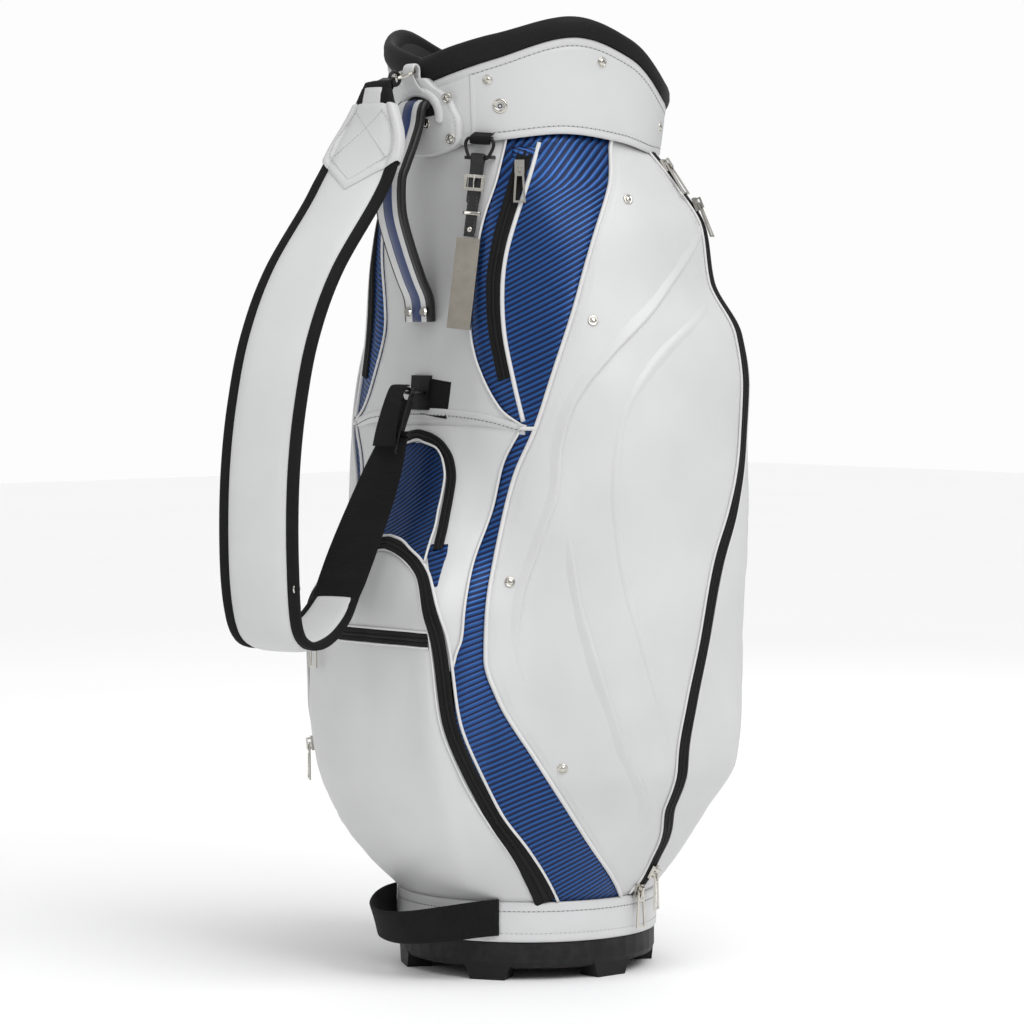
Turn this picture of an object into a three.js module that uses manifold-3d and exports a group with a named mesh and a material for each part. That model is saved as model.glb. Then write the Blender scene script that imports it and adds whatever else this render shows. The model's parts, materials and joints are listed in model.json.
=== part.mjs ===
// Golf caddie bag: moulded base, stiff club tube, sewn pockets, flared collar with a club divider,
// carry handle, padded shoulder strap, name tag and nine zip sliders with their pull tabs.
// Millimetres. +Z is up, the front (handle, strap and ball pocket) faces -Y, and the origin is on
// the club tube's axis at floor level. Angles round the bag are degrees from the front towards +X.
import * as THREE from "three";
import { mergeVertices } from "three/addons/utils/BufferGeometryUtils.js";
import Module from "manifold-3d";

const wasm = await Module();
wasm.setup();

// ---- Driving dimensions ------------------------------------------------------------------------
const GAP = 0.4; // clearance between two touching pieces
const SEAM_DEG = 0.12; // half of the seam gap between neighbouring panels, as an angle

const TUBE = { outer: 117.6, wall: 2.6, top: 789 }; // stiff inner tube that the panels wrap
const PANEL_INNER = TUBE.outer + GAP; // inside radius of every sewn panel and pocket
const BAND = { low: 36, high: 74, outer: 123.5 }; // stitched band round the foot
const BASE = { outer: 122.5, plate: 13, top: BAND.low, floor: 6 }; // moulded foot
const FOOT = { count: 6, first: 30, width: 34, depth: 24, inset: 3 };
const HUB = { radius: 32, bottom: 3 }; // boss under the base, a little off the floor
const FLOOR_PAD = { thickness: 8 };
const DIVIDER = { low: TUBE.top + GAP, high: 826, outer: 120.5, rim: 6.5, bar: 11, offset: 38 };
const SHEET = { thickness: 2, top: DIVIDER.low - GAP };
const COLLAR = { wall: 3, low: 125.5, high: 131.5 }; // cuff: outer radius at its lower and upper edge
const PAD = { radius: 8.5 }; // rolled padding on the collar's rim

// Heights of the collar's upper and lower edge against the angle from the front: two humps, a low back.
const RIM_EDGE = [[0, 831], [35, 854], [68, 874], [95, 857], [125, 822], [180, 800]];
const COLLAR_EDGE = [[0, 771], [40, 781], [64, 786], [90, 780], [120, 770], [180, 769]];

// The bag's outer skin: the radius at each angle (columns) for each height (rows).
const SKIN_ANGLES = [0, 15, 24, 30, 38, 50, 64, 78, 92, 106, 116, 124, 134, 150, 180];
const SKIN = [
  [74, [123, 123, 123, 123, 123, 123, 123, 123, 123, 123, 123, 123, 123, 123, 123]],
  [110, [155, 158, 160, 152, 146, 142, 140, 140, 140, 142, 146, 150, 140, 126, 124]],
  [150, [180, 184, 189, 178, 164, 158, 158, 160, 162, 166, 172, 176, 156, 130, 125]],
  [200, [196, 202, 208, 196, 176, 170, 174, 182, 186, 192, 200, 205, 174, 136, 126]],
  [260, [199, 205, 215, 204, 184, 172, 178, 188, 190, 196, 207, 210, 178, 138, 126]],
  [340, [199, 205, 215, 204, 186, 174, 180, 190, 192, 198, 208, 211, 180, 138, 126]],
  [400, [178, 182, 184, 180, 172, 172, 180, 190, 194, 200, 210, 214, 182, 138, 126]],
  [450, [150, 152, 154, 154, 158, 170, 180, 190, 195, 201, 211, 215, 184, 138, 126]],
  [500, [136, 138, 141, 146, 154, 168, 178, 187, 194, 200, 210, 214, 184, 138, 126]],
  [550, [130, 132, 137, 144, 152, 163, 172, 182, 190, 198, 209, 215, 184, 138, 126]],
  [600, [127, 130, 136, 144, 150, 156, 162, 170, 180, 190, 200, 207, 178, 137, 125]],
  [650, [125, 128, 135, 143, 148, 149, 151, 156, 164, 171, 176, 180, 164, 134, 125]],
  [700, [124, 126, 132, 138, 142, 142, 142, 146, 154, 164, 170, 172, 156, 131, 124]],
  [740, [123, 124, 128, 131, 133, 132, 131, 133, 138, 144, 148, 148, 138, 127, 123]],
  [775, [122, 122, 122, 122, 122, 122, 122, 122, 122, 122, 122, 122, 122, 122, 122]],
];

// Seams on the right half, each as [height, angle from the front]; the left half mirrors them.
const SEAM = {
  ballPocket: [[74, 62], [124, 48.4], [152, 39.4], [192, 31.4], [238, 29.4], [300, 28.4], [340, 27.5]],
  stripeFront: [[74, 62.5], [124, 49], [152, 40], [192, 32], [238, 30], [300, 29], [328, 31], [388, 32],
    [446, 37], [482, 40], [514, 46]],
  sideFront: [[74, 94], [174, 58], [236, 45], [278, 38], [310, 36], [358, 37], [424, 40], [470, 44],
    [514, 50.5], [570, 57], [624, 64], [696, 74], [750, 85], [792, 93]],
  blueFront: [[514, 49.5], [528, 41], [562, 32], [590, 27.5], [610, 26], [692, 30], [750, 37], [792, 43]],
  garmentZip: [[74, 102], [94, 107], [121, 106.5], [164, 99.5], [212, 98], [260, 100.5], [317, 105], [388, 109.5],
    [440, 115], [500, 120], [560, 121.5], [640, 123], [700, 123], [740, 121], [767, 118]],
  back: [[74, 158], [792, 158]],
};
const PANEL_TOP = 767;
const YOKE_HEIGHT = 514; // where the front block meets the spine panel
const ARCH = { centre: 325, radius: 88 }; // arched top of the ball pocket
// Heights at which neighbouring panels share a row of vertices.
const LEVELS = [BAND.high, 98, 124, 150, 175, 200, 238, 278, 302, 325, 358, 400, 424, 446, 470, 492,
  YOKE_HEIGHT, 534, 562, 592, 624, 660, 696, 724, 750, PANEL_TOP];

// Ear on the collar's front, which carries the handle's top and the shoulder strap's ring.
const EAR = { from: -16, to: 21, low: 773, high: 829, thickness: 6.5, block: [13, 11, 27] };
const RING = { radius: 10, wire: 1.8, clearance: 0.6, angle: 22.5, eye: [143.5, 845.5] };
const HANDLE = {
  width: 38, thickness: 9, face: 138.4, rivet: [4.5, 1.8], rivets: [[-11, 622], [11, 622]],
  line: [[-143.6, 815], [-143.6, 802], [-154, 775], [-168, 744], [-167, 712], [-156, 680], [-144, 653],
    [-134.4, 634], [-132.1, 614]],
};

// Shoulder strap, by its centre line in the plane X = 0 as [Y, Z]; it swings on its two end fittings.
const SHOULDER = {
  width: 82, thickness: 12, twist: 20, tail: 0.6,
  line: [[-185, 827.5], [-194, 782], [-221, 730], [-272, 660], [-300, 600], [-315, 540], [-323, 480],
    [-325, 417], [-322, 360], [-314, 330], [-296, 320], [-272, 326], [-250, 342], [-236, 360]],
};
const WEBBING = {
  width: 50, narrow: 0.76, twist: 26, thickness: 2.4,
  line: [[-234, 363.5], [-214, 405], [-192, 449], [-176, 483], [-166, 506]],
};
const HOOK = { eye: 6.2, wire: 1.7, slack: 2.2, body: [17, 7] };
const ANCHOR = { low: 531, high: 563, half: 5.5, thickness: 4, ring: 8, wire: 1.6, height: 547, reach: 149 };

const BASE_HANDLE = {
  width: 34, thickness: 2.6,
  line: [[-74, -102.6, 60], [-66, -122, 59], [-52, -144, 56], [-28, -165, 52], [0, -172, 50], [28, -165, 52],
    [52, -144, 56], [66, -122, 59], [74, -102.6, 60]],
};

// Name tag: hangs from a loop under the collar and rests against the pocket behind it.
const TAG = {
  angle: 29, pivot: [137, 764], lean: 5.5, slant: 5, loop: [5, 1.5], strap: [14, 3, 72], plate: [23, 2.4, 84],
  buckle: [20, 2, 15],
};

// Zip sliders. Each runs straight between two [angle, height] points on the skin.
const SLIDER = { width: 9, length: 13, height: 3.2, clearance: 1 };
const BAIL = { width: 2.4, half: 4.6, rise: 4.4, bar: 1.5 };
const TAB = { width: 7.4, flare: 11.6, length: 35, thickness: 1.5, start: 7.5, pin: 0.75, wire: 1.9 };
const ZIPS = {
  valuables: { from: [45, 754], to: [38, 692], left: true },
  garment_upper: { from: [122.2, 721], to: [123, 690], left: true },
  garment_parked: { from: [118.8, 757], to: [120, 745] },
  garment_lower: { from: [107.5, 97], to: [105.5, 128], left: true },
  garment_floor: { from: [102.6, 80], to: [106, 92] },
  ball_side: { from: [-29.7, 215], to: [-29, 290] },
  face: { from: [-19.3, 324], to: [11, 324], level: true },
};
const ARC_ZIP = { centre: [142, 453], radius: 51, tilt: 7.8, at: -74, clearance: 2.2, lean: 27 }; // accessory pocket's arch

// ---- Helpers -----------------------------------------------------------------------------------
const rad = THREE.MathUtils.degToRad;

// A point at an angle from the front, a distance from the axis and a height.
function polar(angle, radius, z) {
  return new THREE.Vector3(radius * Math.sin(rad(angle)), -radius * Math.cos(rad(angle)), z);
}

// A smooth monotone curve through [x, y] knots, held level past both ends.
function curveThrough(knots) {
  const x = knots.map((k) => k[0]);
  const y = knots.map((k) => k[1]);
  const last = x.length - 1;
  const slope = x.slice(1).map((v, i) => (y[i + 1] - y[i]) / (v - x[i]));
  const tangent = y.map((_, i) => {
    if (i === 0 || i === last || slope[i - 1] * slope[i] <= 0) return 0;
    return (2 * slope[i - 1] * slope[i]) / (slope[i - 1] + slope[i]);
  });
  tangent[0] = slope[0];
  tangent[last] = slope[last - 1];
  return (at) => {
    const v = Math.min(Math.max(at, x[0]), x[last]);
    let i = 0;
    while (i < last - 1 && v > x[i + 1]) i += 1;
    const h = x[i + 1] - x[i];
    const t = (v - x[i]) / h;
    const rise = t * t * (3 - 2 * t);
    return y[i] * (1 - rise) + y[i + 1] * rise
      + h * t * (1 - t) * ((1 - t) * tangent[i] - t * tangent[i + 1]);
  };
}

const skinColumns = SKIN_ANGLES.map((_, k) => curveThrough(SKIN.map(([z, row]) => [z, row[k]])));
const rimEdge = curveThrough(RIM_EDGE);
const collarEdge = curveThrough(COLLAR_EDGE);

// The angle folded into the half turn from the front, 0 to 180.
function folded(angle) {
  return Math.abs(((angle + 540) % 360) - 180);
}

// Radius of the outer skin.
function skin(angle, z) {
  return curveThrough(SKIN_ANGLES.map((a, k) => [a, skinColumns[k](z)]))(folded(angle));
}

// A closed grid of vertices: point(i, j, k) for i in 0..ni, j in 0..nj, on the face k = 0 (outer) or 1.
function slab(ni, nj, point) {
  const row = nj + 1;
  const face = (ni + 1) * row;
  const positions = [];
  for (const k of [0, 1])
    for (let i = 0; i <= ni; i += 1)
      for (let j = 0; j <= nj; j += 1) positions.push(...point(i, j, k).toArray());
  const index = [];
  const quad = (a, b, c, d) => index.push(a, b, c, a, c, d);
  const at = (i, j, k) => k * face + i * row + j;
  for (let i = 0; i < ni; i += 1)
    for (let j = 0; j < nj; j += 1) {
      quad(at(i, j, 0), at(i, j + 1, 0), at(i + 1, j + 1, 0), at(i + 1, j, 0));
      quad(at(i, j, 1), at(i + 1, j, 1), at(i + 1, j + 1, 1), at(i, j + 1, 1));
    }
  for (let i = 0; i < ni; i += 1) {
    quad(at(i, 0, 0), at(i + 1, 0, 0), at(i + 1, 0, 1), at(i, 0, 1));
    quad(at(i, nj, 0), at(i, nj, 1), at(i + 1, nj, 1), at(i + 1, nj, 0));
  }
  for (let j = 0; j < nj; j += 1) {
    quad(at(0, j + 1, 0), at(0, j, 0), at(0, j, 1), at(0, j + 1, 1));
    quad(at(ni, j, 0), at(ni, j + 1, 0), at(ni, j + 1, 1), at(ni, j, 1));
  }
  const geometry = new THREE.BufferGeometry();
  geometry.setAttribute("position", new THREE.Float32BufferAttribute(positions, 3));
  geometry.setIndex(index);
  return geometry;
}

// A sewn panel: the solid between the tube and the skin, from one height and seam to the next.
function panel({ low, high, from, to, columns }) {
  const levels = LEVELS.filter((z) => z >= low && z <= high);
  return slab(levels.length - 1, columns, (i, j, k) => {
    const z = levels[i] - (i > 0 && levels[i] === YOKE_HEIGHT && high === YOKE_HEIGHT ? GAP : 0);
    const start = from(levels[i]) + SEAM_DEG;
    const angle = start + ((to(levels[i]) - SEAM_DEG - start) * j) / columns;
    return polar(angle, k === 0 ? Math.max(skin(angle, z), PANEL_INNER + 3) : PANEL_INNER - 8, z);
  });
}

// A ring that follows angle-dependent edges: profile(angle) gives its closed section as [radius, z].
function ring(steps, profile) {
  const sections = [];
  for (let s = 0; s < steps; s += 1) sections.push(profile((360 * s) / steps));
  const count = sections[0].length;
  const positions = sections.flatMap((section, s) =>
    section.flatMap(([radius, z]) => polar((360 * s) / steps, radius, z).toArray()));
  const index = [];
  for (let s = 0; s < steps; s += 1)
    for (let c = 0; c < count; c += 1) {
      const next = (s + 1) % steps;
      const d = (c + 1) % count;
      index.push(s * count + c, next * count + c, next * count + d);
      index.push(s * count + c, next * count + d, s * count + d);
    }
  const geometry = new THREE.BufferGeometry();
  geometry.setAttribute("position", new THREE.Float32BufferAttribute(positions, 3));
  geometry.setIndex(index);
  return geometry;
}

// A strap along a line of points, its width held along one direction.
function strap(points, width, thickness, steps, across, widthAt = () => 1, edge = 1) {
  const line = new THREE.CatmullRomCurve3(points);
  const columns = edge < 1 ? 4 : 1;
  return slab(steps, columns, (i, j, k) => {
    const t = i / steps;
    const side = across(t);
    const out = new THREE.Vector3().crossVectors(line.getTangentAt(t), side).normalize();
    const u = j / columns - 0.5;
    return line.getPointAt(t)
      .addScaledVector(side, u * width * widthAt(t))
      .addScaledVector(out, (k - 0.5) * thickness * (1 - (1 - edge) * 4 * u * u));
  });
}

// A torus whose plane contains the X axis and leans down towards the front by an angle.
function link(radius, wire, lean, y, z) {
  return new THREE.TorusGeometry(radius, wire, 8, 20).rotateX(rad(lean)).translate(0, y, z);
}

// Boolean work on closed geometries.
function solid(geometry) {
  const bare = geometry.clone();
  bare.deleteAttribute("normal");
  bare.deleteAttribute("uv");
  const merged = mergeVertices(bare, 1e-4);
  const made = new wasm.Manifold(new wasm.Mesh({
    numProp: 3,
    vertProperties: new Float32Array(merged.attributes.position.array),
    triVerts: new Uint32Array(merged.index.array),
  }));
  return made;
}

function geometryOf(made) {
  const mesh = made.getMesh();
  const geometry = new THREE.BufferGeometry();
  geometry.setAttribute("position", new THREE.BufferAttribute(mesh.vertProperties, 3));
  geometry.setIndex(new THREE.BufferAttribute(mesh.triVerts, 1));
  return geometry;
}

function joined(...geometries) {
  return geometryOf(geometries.map(solid).reduce((a, b) => a.add(b)));
}

function box(width, depth, height, x, y, z) {
  return new THREE.BoxGeometry(width, depth, height).translate(x, y, z);
}

const bag = new THREE.Group();

function add(name, geometry, { color, roughness = 0.6, metalness = 0 }, parent = bag) {
  const mesh = new THREE.Mesh(geometry, new THREE.MeshStandardMaterial({ color, roughness, metalness }));
  mesh.name = name;
  parent.add(mesh);
  return mesh;
}

const WHITE = { color: 0xe4e5e6, roughness: 0.5 };
const BLUE = { color: 0x1f3c78, roughness: 0.35 };
const BLACK = { color: 0x0d0d0f, roughness: 0.85 };
const PLASTIC = { color: 0x1a1b1c, roughness: 0.6 };
const STEEL = { color: 0xc9c8c2, roughness: 0.25, metalness: 1 };
const FOAM = { color: 0x2a2b2e, roughness: 0.95 };

// ---- Base --------------------------------------------------------------------------------------
function baseCap() {
  const R = BASE.outer;
  const dish = new THREE.LatheGeometry([
    [0, HUB.bottom], [HUB.radius, HUB.bottom], [HUB.radius, BASE.plate], [R - 16, BASE.plate],
    [R - 10, BASE.plate - 3], [R - 2, BASE.plate], [R, BASE.plate + 5], [R, BASE.top - GAP],
    [0, BASE.top - GAP], [0, HUB.bottom],
  ].map(([x, y]) => new THREE.Vector2(x, y)), 48);
  dish.rotateX(Math.PI / 2);
  const parts = [solid(dish)];
  for (let n = 0; n < FOOT.count; n += 1) {
    const angle = FOOT.first + (360 / FOOT.count) * n;
    const outline = new THREE.Shape([
      new THREE.Vector2(-FOOT.width / 2, 0), new THREE.Vector2(FOOT.width / 2, 0),
      new THREE.Vector2(FOOT.width / 2 + 7, BASE.plate + 6), new THREE.Vector2(-FOOT.width / 2 - 7, BASE.plate + 6),
    ]);
    const foot = new THREE.ExtrudeGeometry(outline, { depth: FOOT.depth, bevelEnabled: false });
    foot.rotateX(Math.PI / 2);
    foot.translate(0, -(R - FOOT.inset - FOOT.depth), 0);
    foot.rotateZ(rad(angle));
    parts.push(solid(foot));
  }
  return geometryOf(parts.reduce((a, b) => a.add(b)));
}

add("base_cap", baseCap(), PLASTIC);
add("base_band", ring(48, () => [
  [PANEL_INNER, BAND.low], [BAND.outer, BAND.low], [BAND.outer, BAND.high - GAP], [PANEL_INNER, BAND.high - GAP],
]), WHITE);

// ---- Club tube, floor pad and stays --------------------------------------------------------------
add("club_tube", ring(48, () => [
  [TUBE.outer - TUBE.wall, BAND.low], [TUBE.outer, BAND.low], [TUBE.outer, TUBE.top],
  [TUBE.outer - TUBE.wall, TUBE.top],
]), FOAM);

const padRadius = TUBE.outer - TUBE.wall - 1;
const floorPad = new THREE.CylinderGeometry(padRadius, padRadius, FLOOR_PAD.thickness, 48);
floorPad.rotateX(Math.PI / 2);
floorPad.translate(0, 0, BAND.low + FLOOR_PAD.thickness / 2);
add("floor_pad", floorPad, FOAM);

const sheetLow = BAND.low + FLOOR_PAD.thickness + GAP;
const sheetHalf = Math.sqrt((padRadius - 1) ** 2 - (DIVIDER.offset + SHEET.thickness) ** 2);
for (const [name, side] of [["front", -1], ["rear", 1]])
  add(`divider_sheet_${name}`, box(2 * sheetHalf, SHEET.thickness, SHEET.top - sheetLow,
    0, side * DIVIDER.offset, (SHEET.top + sheetLow) / 2), FOAM);

// ---- Divider: a moulded ring with one long bar and two cross bars ------------------------------------
function dividerGrid() {
  const inner = DIVIDER.outer - DIVIDER.rim;
  const height = DIVIDER.high - DIVIDER.low;
  const middle = (DIVIDER.high + DIVIDER.low) / 2;
  const reach = DIVIDER.outer - 1;
  const barEnd = Math.sqrt(reach ** 2 - (DIVIDER.offset + DIVIDER.bar / 2) ** 2);
  return joined(
    ring(48, () => [[inner, DIVIDER.low], [DIVIDER.outer, DIVIDER.low], [DIVIDER.outer, DIVIDER.high],
      [inner, DIVIDER.high]]),
    box(DIVIDER.bar, 2 * (reach - 1), height, 0, 0, middle),
    box(2 * barEnd, DIVIDER.bar, height, 0, -DIVIDER.offset, middle),
    box(2 * barEnd, DIVIDER.bar, height, 0, DIVIDER.offset, middle),
  );
}
add("divider_grid", dividerGrid(), FOAM);

// ---- Collar and rim padding -------------------------------------------------------------------------
add("collar", ring(48, (angle) => {
  const a = folded(angle);
  return [
    [COLLAR.low - COLLAR.wall, collarEdge(a)], [COLLAR.low, collarEdge(a)], [COLLAR.high, rimEdge(a)],
    [COLLAR.high - COLLAR.wall, rimEdge(a)],
  ];
}), WHITE);

add("rim_pad", ring(48, (angle) => {
  const centre = [COLLAR.high - COLLAR.wall / 2, rimEdge(folded(angle)) + PAD.radius + GAP];
  return [0, 1, 2, 3, 4, 5, 6, 7].map((n) => {
    const turn = rad(22.5 + 45 * n);
    return [centre[0] + (PAD.radius / 1.35) * Math.cos(turn), centre[1] + PAD.radius * Math.sin(turn)];
  });
}), BLACK);

// ---- Sewn panels and pockets ------------------------------------------------------------------------
const seam = Object.fromEntries(Object.entries(SEAM).map(([name, knots]) => [name, curveThrough(knots)]));
const mirrored = (f) => (z) => -f(z);
const core = solid(ring(48, () => [[50, 0], [PANEL_INNER, 0], [PANEL_INNER, 900], [50, 900]]));

// The mirror image across X = 0.
function reflected(geometry) {
  const copy = geometry.clone();
  copy.applyMatrix4(new THREE.Matrix4().makeScale(-1, 1, 1));
  const index = copy.index.array;
  for (let i = 0; i < index.length; i += 3) [index[i + 1], index[i + 2]] = [index[i + 2], index[i + 1]];
  return copy;
}

function addPanel(name, geometry, material, pair = false) {
  const trimmed = geometryOf(solid(geometry).subtract(core));
  add(pair ? `${name}_right` : name, trimmed, material);
  if (pair) add(`${name}_left`, reflected(trimmed), material);
}

// Half width of the ball pocket, as an angle: straight sides with an arched top.
function ballPocketSeam(z) {
  if (z <= ARCH.centre) return seam.ballPocket(z);
  const share = Math.min((z - ARCH.centre) / ARCH.radius, 0.995);
  return seam.ballPocket(ARCH.centre) * Math.sqrt(1 - share * share);
}

// The ball pocket, or with grow the same shape a little larger, to cut its neighbour with.
function ballPocket(grow) {
  const arch = [20, 38, 55, 70, 84].map((turn) => ARCH.centre + ARCH.radius * Math.sin(rad(turn)));
  const levels = [...LEVELS.filter((z) => z <= ARCH.centre), ...arch];
  const last = levels.length - 1;
  return slab(last, 8, (i, j, k) => {
    const z = levels[i] + (i === last ? grow * 1.5 : 0);
    const half = ballPocketSeam(levels[i]) + grow * (i === last ? 2 : 0.6);
    const angle = -half + (2 * half * j) / 8;
    return polar(angle, k === 0 ? skin(angle, z) + grow * 20 : PANEL_INNER - 8, z);
  });
}
addPanel("ball_pocket", ballPocket(0), WHITE);
addPanel("accessory_pocket", geometryOf(solid(panel({
  low: LEVELS[8], high: YOKE_HEIGHT, columns: 12, from: mirrored(seam.stripeFront), to: seam.stripeFront,
})).subtract(solid(ballPocket(1)))), WHITE);
addPanel("spine_panel", panel({
  low: YOKE_HEIGHT, high: PANEL_TOP, columns: 8, from: mirrored(seam.blueFront), to: seam.blueFront,
}), WHITE);
addPanel("valuables_pocket", panel({
  low: YOKE_HEIGHT, high: PANEL_TOP, columns: 5, from: seam.blueFront, to: seam.sideFront,
}), BLUE, true);
addPanel("stripe_panel", panel({
  low: BAND.high, high: YOKE_HEIGHT, columns: 3, from: seam.stripeFront, to: seam.sideFront,
}), BLUE, true);
addPanel("garment_pocket", panel({
  low: BAND.high, high: PANEL_TOP, columns: 7, from: seam.sideFront, to: seam.garmentZip,
}), WHITE, true);
addPanel("rear_gusset", panel({
  low: BAND.high, high: PANEL_TOP, columns: 5, from: seam.garmentZip, to: seam.back,
}), WHITE, true);
addPanel("back_panel", panel({
  low: BAND.high, high: PANEL_TOP, columns: 5, from: seam.back, to: (z) => 360 - seam.back(z),
}), WHITE);

// ---- Ear, carry handle and base handle --------------------------------------------------------------
function collarRadius(angle, z) {
  const a = folded(angle);
  const share = (z - collarEdge(a)) / (rimEdge(a) - collarEdge(a));
  return COLLAR.low + (COLLAR.high - COLLAR.low) * Math.min(Math.max(share, 0), 1);
}

const ringDown = [-Math.cos(rad(RING.angle)), -Math.sin(rad(RING.angle))];
const along = (steps) => [
  -RING.eye[0] + ringDown[0] * steps, RING.eye[1] + ringDown[1] * steps,
];
const ringCentre = along(RING.radius);
const topPivot = along(2 * RING.radius);

function ear() {
  const plate = slab(4, 6, (i, j, k) => {
    const z = EAR.low + ((EAR.high - EAR.low) * i) / 4;
    const narrow = i === 4 ? 0.6 : 1;
    const middle = (EAR.from + EAR.to) / 2;
    const angle = middle * narrow + ((EAR.to - EAR.from) * narrow * (j - 3)) / 6;
    return polar(angle, collarRadius(angle, z) + GAP + 0.4 + (k === 0 ? EAR.thickness : 0), z);
  });
  const [width, depth, height] = EAR.block;
  const block = box(width, depth, height, 0, -RING.eye[0], RING.eye[1] + 5.5 - height / 2);
  const tunnel = link(RING.radius, RING.wire + RING.clearance, RING.angle, ...ringCentre);
  return geometryOf(solid(plate).add(solid(block)).subtract(solid(tunnel)));
}
add("ear", ear(), WHITE);
add("ear_ring", link(RING.radius, RING.wire, RING.angle, ...ringCentre), STEEL);

const acrossX = () => new THREE.Vector3(1, 0, 0);
const inPlane = (points) => points.map(([y, z]) => new THREE.Vector3(0, y, z));
add("carry_handle", strap(inPlane(HANDLE.line), HANDLE.width, HANDLE.thickness, 22, acrossX), BLUE);
HANDLE.rivets.forEach(([x, z], n) => {
  const rivet = new THREE.CylinderGeometry(HANDLE.rivet[0], HANDLE.rivet[0] * 0.8, HANDLE.rivet[1], 16);
  add(`handle_rivet_${n === 0 ? "left" : "right"}`,
    rivet.translate(x, -(HANDLE.face + HANDLE.rivet[1] / 2 + GAP), z), STEEL);
});

add("base_handle", strap(BASE_HANDLE.line.map((p) => new THREE.Vector3(...p)), BASE_HANDLE.width,
  BASE_HANDLE.thickness, 24, (t) => new THREE.Vector3(0, -0.45 * Math.sin(Math.PI * t) ** 2, 1).normalize()), BLACK);

// ---- Shoulder strap -----------------------------------------------------------------------------------
function anchor() {
  const plate = slab(3, 2, (i, j, k) => {
    const z = ANCHOR.low + ((ANCHOR.high - ANCHOR.low) * i) / 3;
    const angle = ANCHOR.half * (j - 1);
    return polar(angle, skin(0, z) + 2 * GAP + (k === 0 ? ANCHOR.thickness : 0), z);
  });
  return joined(plate, link(ANCHOR.ring, ANCHOR.wire, 0, -(ANCHOR.reach - ANCHOR.ring), ANCHOR.height));
}
add("strap_anchor", anchor(), PLASTIC);

// A snap hook: an eye round a ring's wire at the pivot, a flat body and a bar as wide as its strap.
function hook(pivot, heading, reach, width) {
  const eye = new THREE.TorusGeometry(HOOK.eye, HOOK.wire, 8, 16).rotateY(Math.PI / 2).translate(0, -HOOK.slack, 0);
  const start = HOOK.slack + HOOK.eye;
  const body = box(HOOK.body[0], reach - start - 1, HOOK.body[1], 0, -(start + reach - 1) / 2, 0);
  const bar = box(width, 4.5, 4.5, 0, -(reach - 2.25), 0);
  return joined(eye, body, bar).rotateX(rad(heading)).translate(0, ...pivot);
}
add("strap_hook_top", hook(topPivot, RING.angle, 20, 34), PLASTIC);

// The pad hangs square at its top end and turns to one side below it; the webbing turns further, then back.
const turned = (degrees) => new THREE.Vector3(Math.cos(rad(degrees)), Math.sin(rad(degrees)), 0);
const padWidth = curveThrough([[0, 0.45], [0.1, 1], [0.74, 1], [0.86, 0.92], [1, SHOULDER.tail]]);
add("shoulder_pad", strap(inPlane(SHOULDER.line), SHOULDER.width, SHOULDER.thickness, 30,
  (t) => turned(SHOULDER.twist * Math.min(t / 0.15, 1)), padWidth, 0.45),
  WHITE);
add("strap_webbing", strap(inPlane(WEBBING.line), WEBBING.width, WEBBING.thickness, 10,
  (t) => turned(SHOULDER.twist * (1 - t) + WEBBING.twist * Math.sin(Math.PI * t)),
  (t) => 1 - (1 - WEBBING.narrow) * t), BLACK);
const bottomPivot = [-ANCHOR.reach, ANCHOR.height];
const lastPoint = WEBBING.line.at(-1);
const lean = THREE.MathUtils.radToDeg(Math.atan2(bottomPivot[1] - lastPoint[1], bottomPivot[0] - lastPoint[0]));
add("strap_hook_low", hook(bottomPivot, lean, Math.hypot(bottomPivot[0] - lastPoint[0],
  bottomPivot[1] - lastPoint[1]) - 1, WEBBING.width * WEBBING.narrow + 4), PLASTIC);

// ---- Name tag -------------------------------------------------------------------------------------------
// Pieces of the tag are made hanging from the origin, then leaned out and set at the pivot.
function onTag(geometry) {
  return geometry.rotateY(rad(TAG.slant)).rotateX(rad(-TAG.lean)).translate(0, -TAG.pivot[0], TAG.pivot[1]).rotateZ(rad(TAG.angle));
}
const tagBar = new THREE.CylinderGeometry(TAG.loop[1], TAG.loop[1], 24, 12).rotateZ(Math.PI / 2);
const tagArms = [-1, 1].map((side) => box(3, 13, 3, side * 11.5, 5.2, 0));
add("tag_loop", joined(tagBar, ...tagArms).translate(0, -TAG.pivot[0], TAG.pivot[1]).rotateZ(rad(TAG.angle)), PLASTIC);

const [strapWidth, strapThickness, strapLength] = TAG.strap;
const eyeSleeve = new THREE.CylinderGeometry(TAG.loop[1] + 2.4, TAG.loop[1] + 2.4, strapWidth, 14).rotateZ(Math.PI / 2);
const sleeveBore = new THREE.CylinderGeometry(TAG.loop[1] + 1.2, TAG.loop[1] + 1.2, 40, 12).rotateZ(Math.PI / 2);
const tagStrap = geometryOf(solid(eyeSleeve).add(solid(box(strapWidth, strapThickness, strapLength, 0, 0,
  -strapLength / 2 - TAG.loop[1] - 1))).subtract(solid(sleeveBore)));
add("tag_strap", onTag(tagStrap), BLACK);
const [plateWidth, plateDepth, plateHeight] = TAG.plate;
const plateTop = -(strapLength + TAG.loop[1] + 1 + GAP);
add("tag_plate", onTag(box(plateWidth, plateDepth, plateHeight, 0, 0, plateTop - plateHeight / 2)), STEEL);
const [buckleWidth, buckleDepth, buckleHeight] = TAG.buckle;
const buckleY = -(strapThickness / 2 + GAP + buckleDepth / 2);
add("tag_buckle", onTag(geometryOf(
  solid(box(buckleWidth, buckleDepth, buckleHeight, 0, buckleY, -24))
    .subtract(solid(box(buckleWidth - 6, 10, buckleHeight - 6, 0, buckleY, -24))),
)), STEEL);

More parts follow.
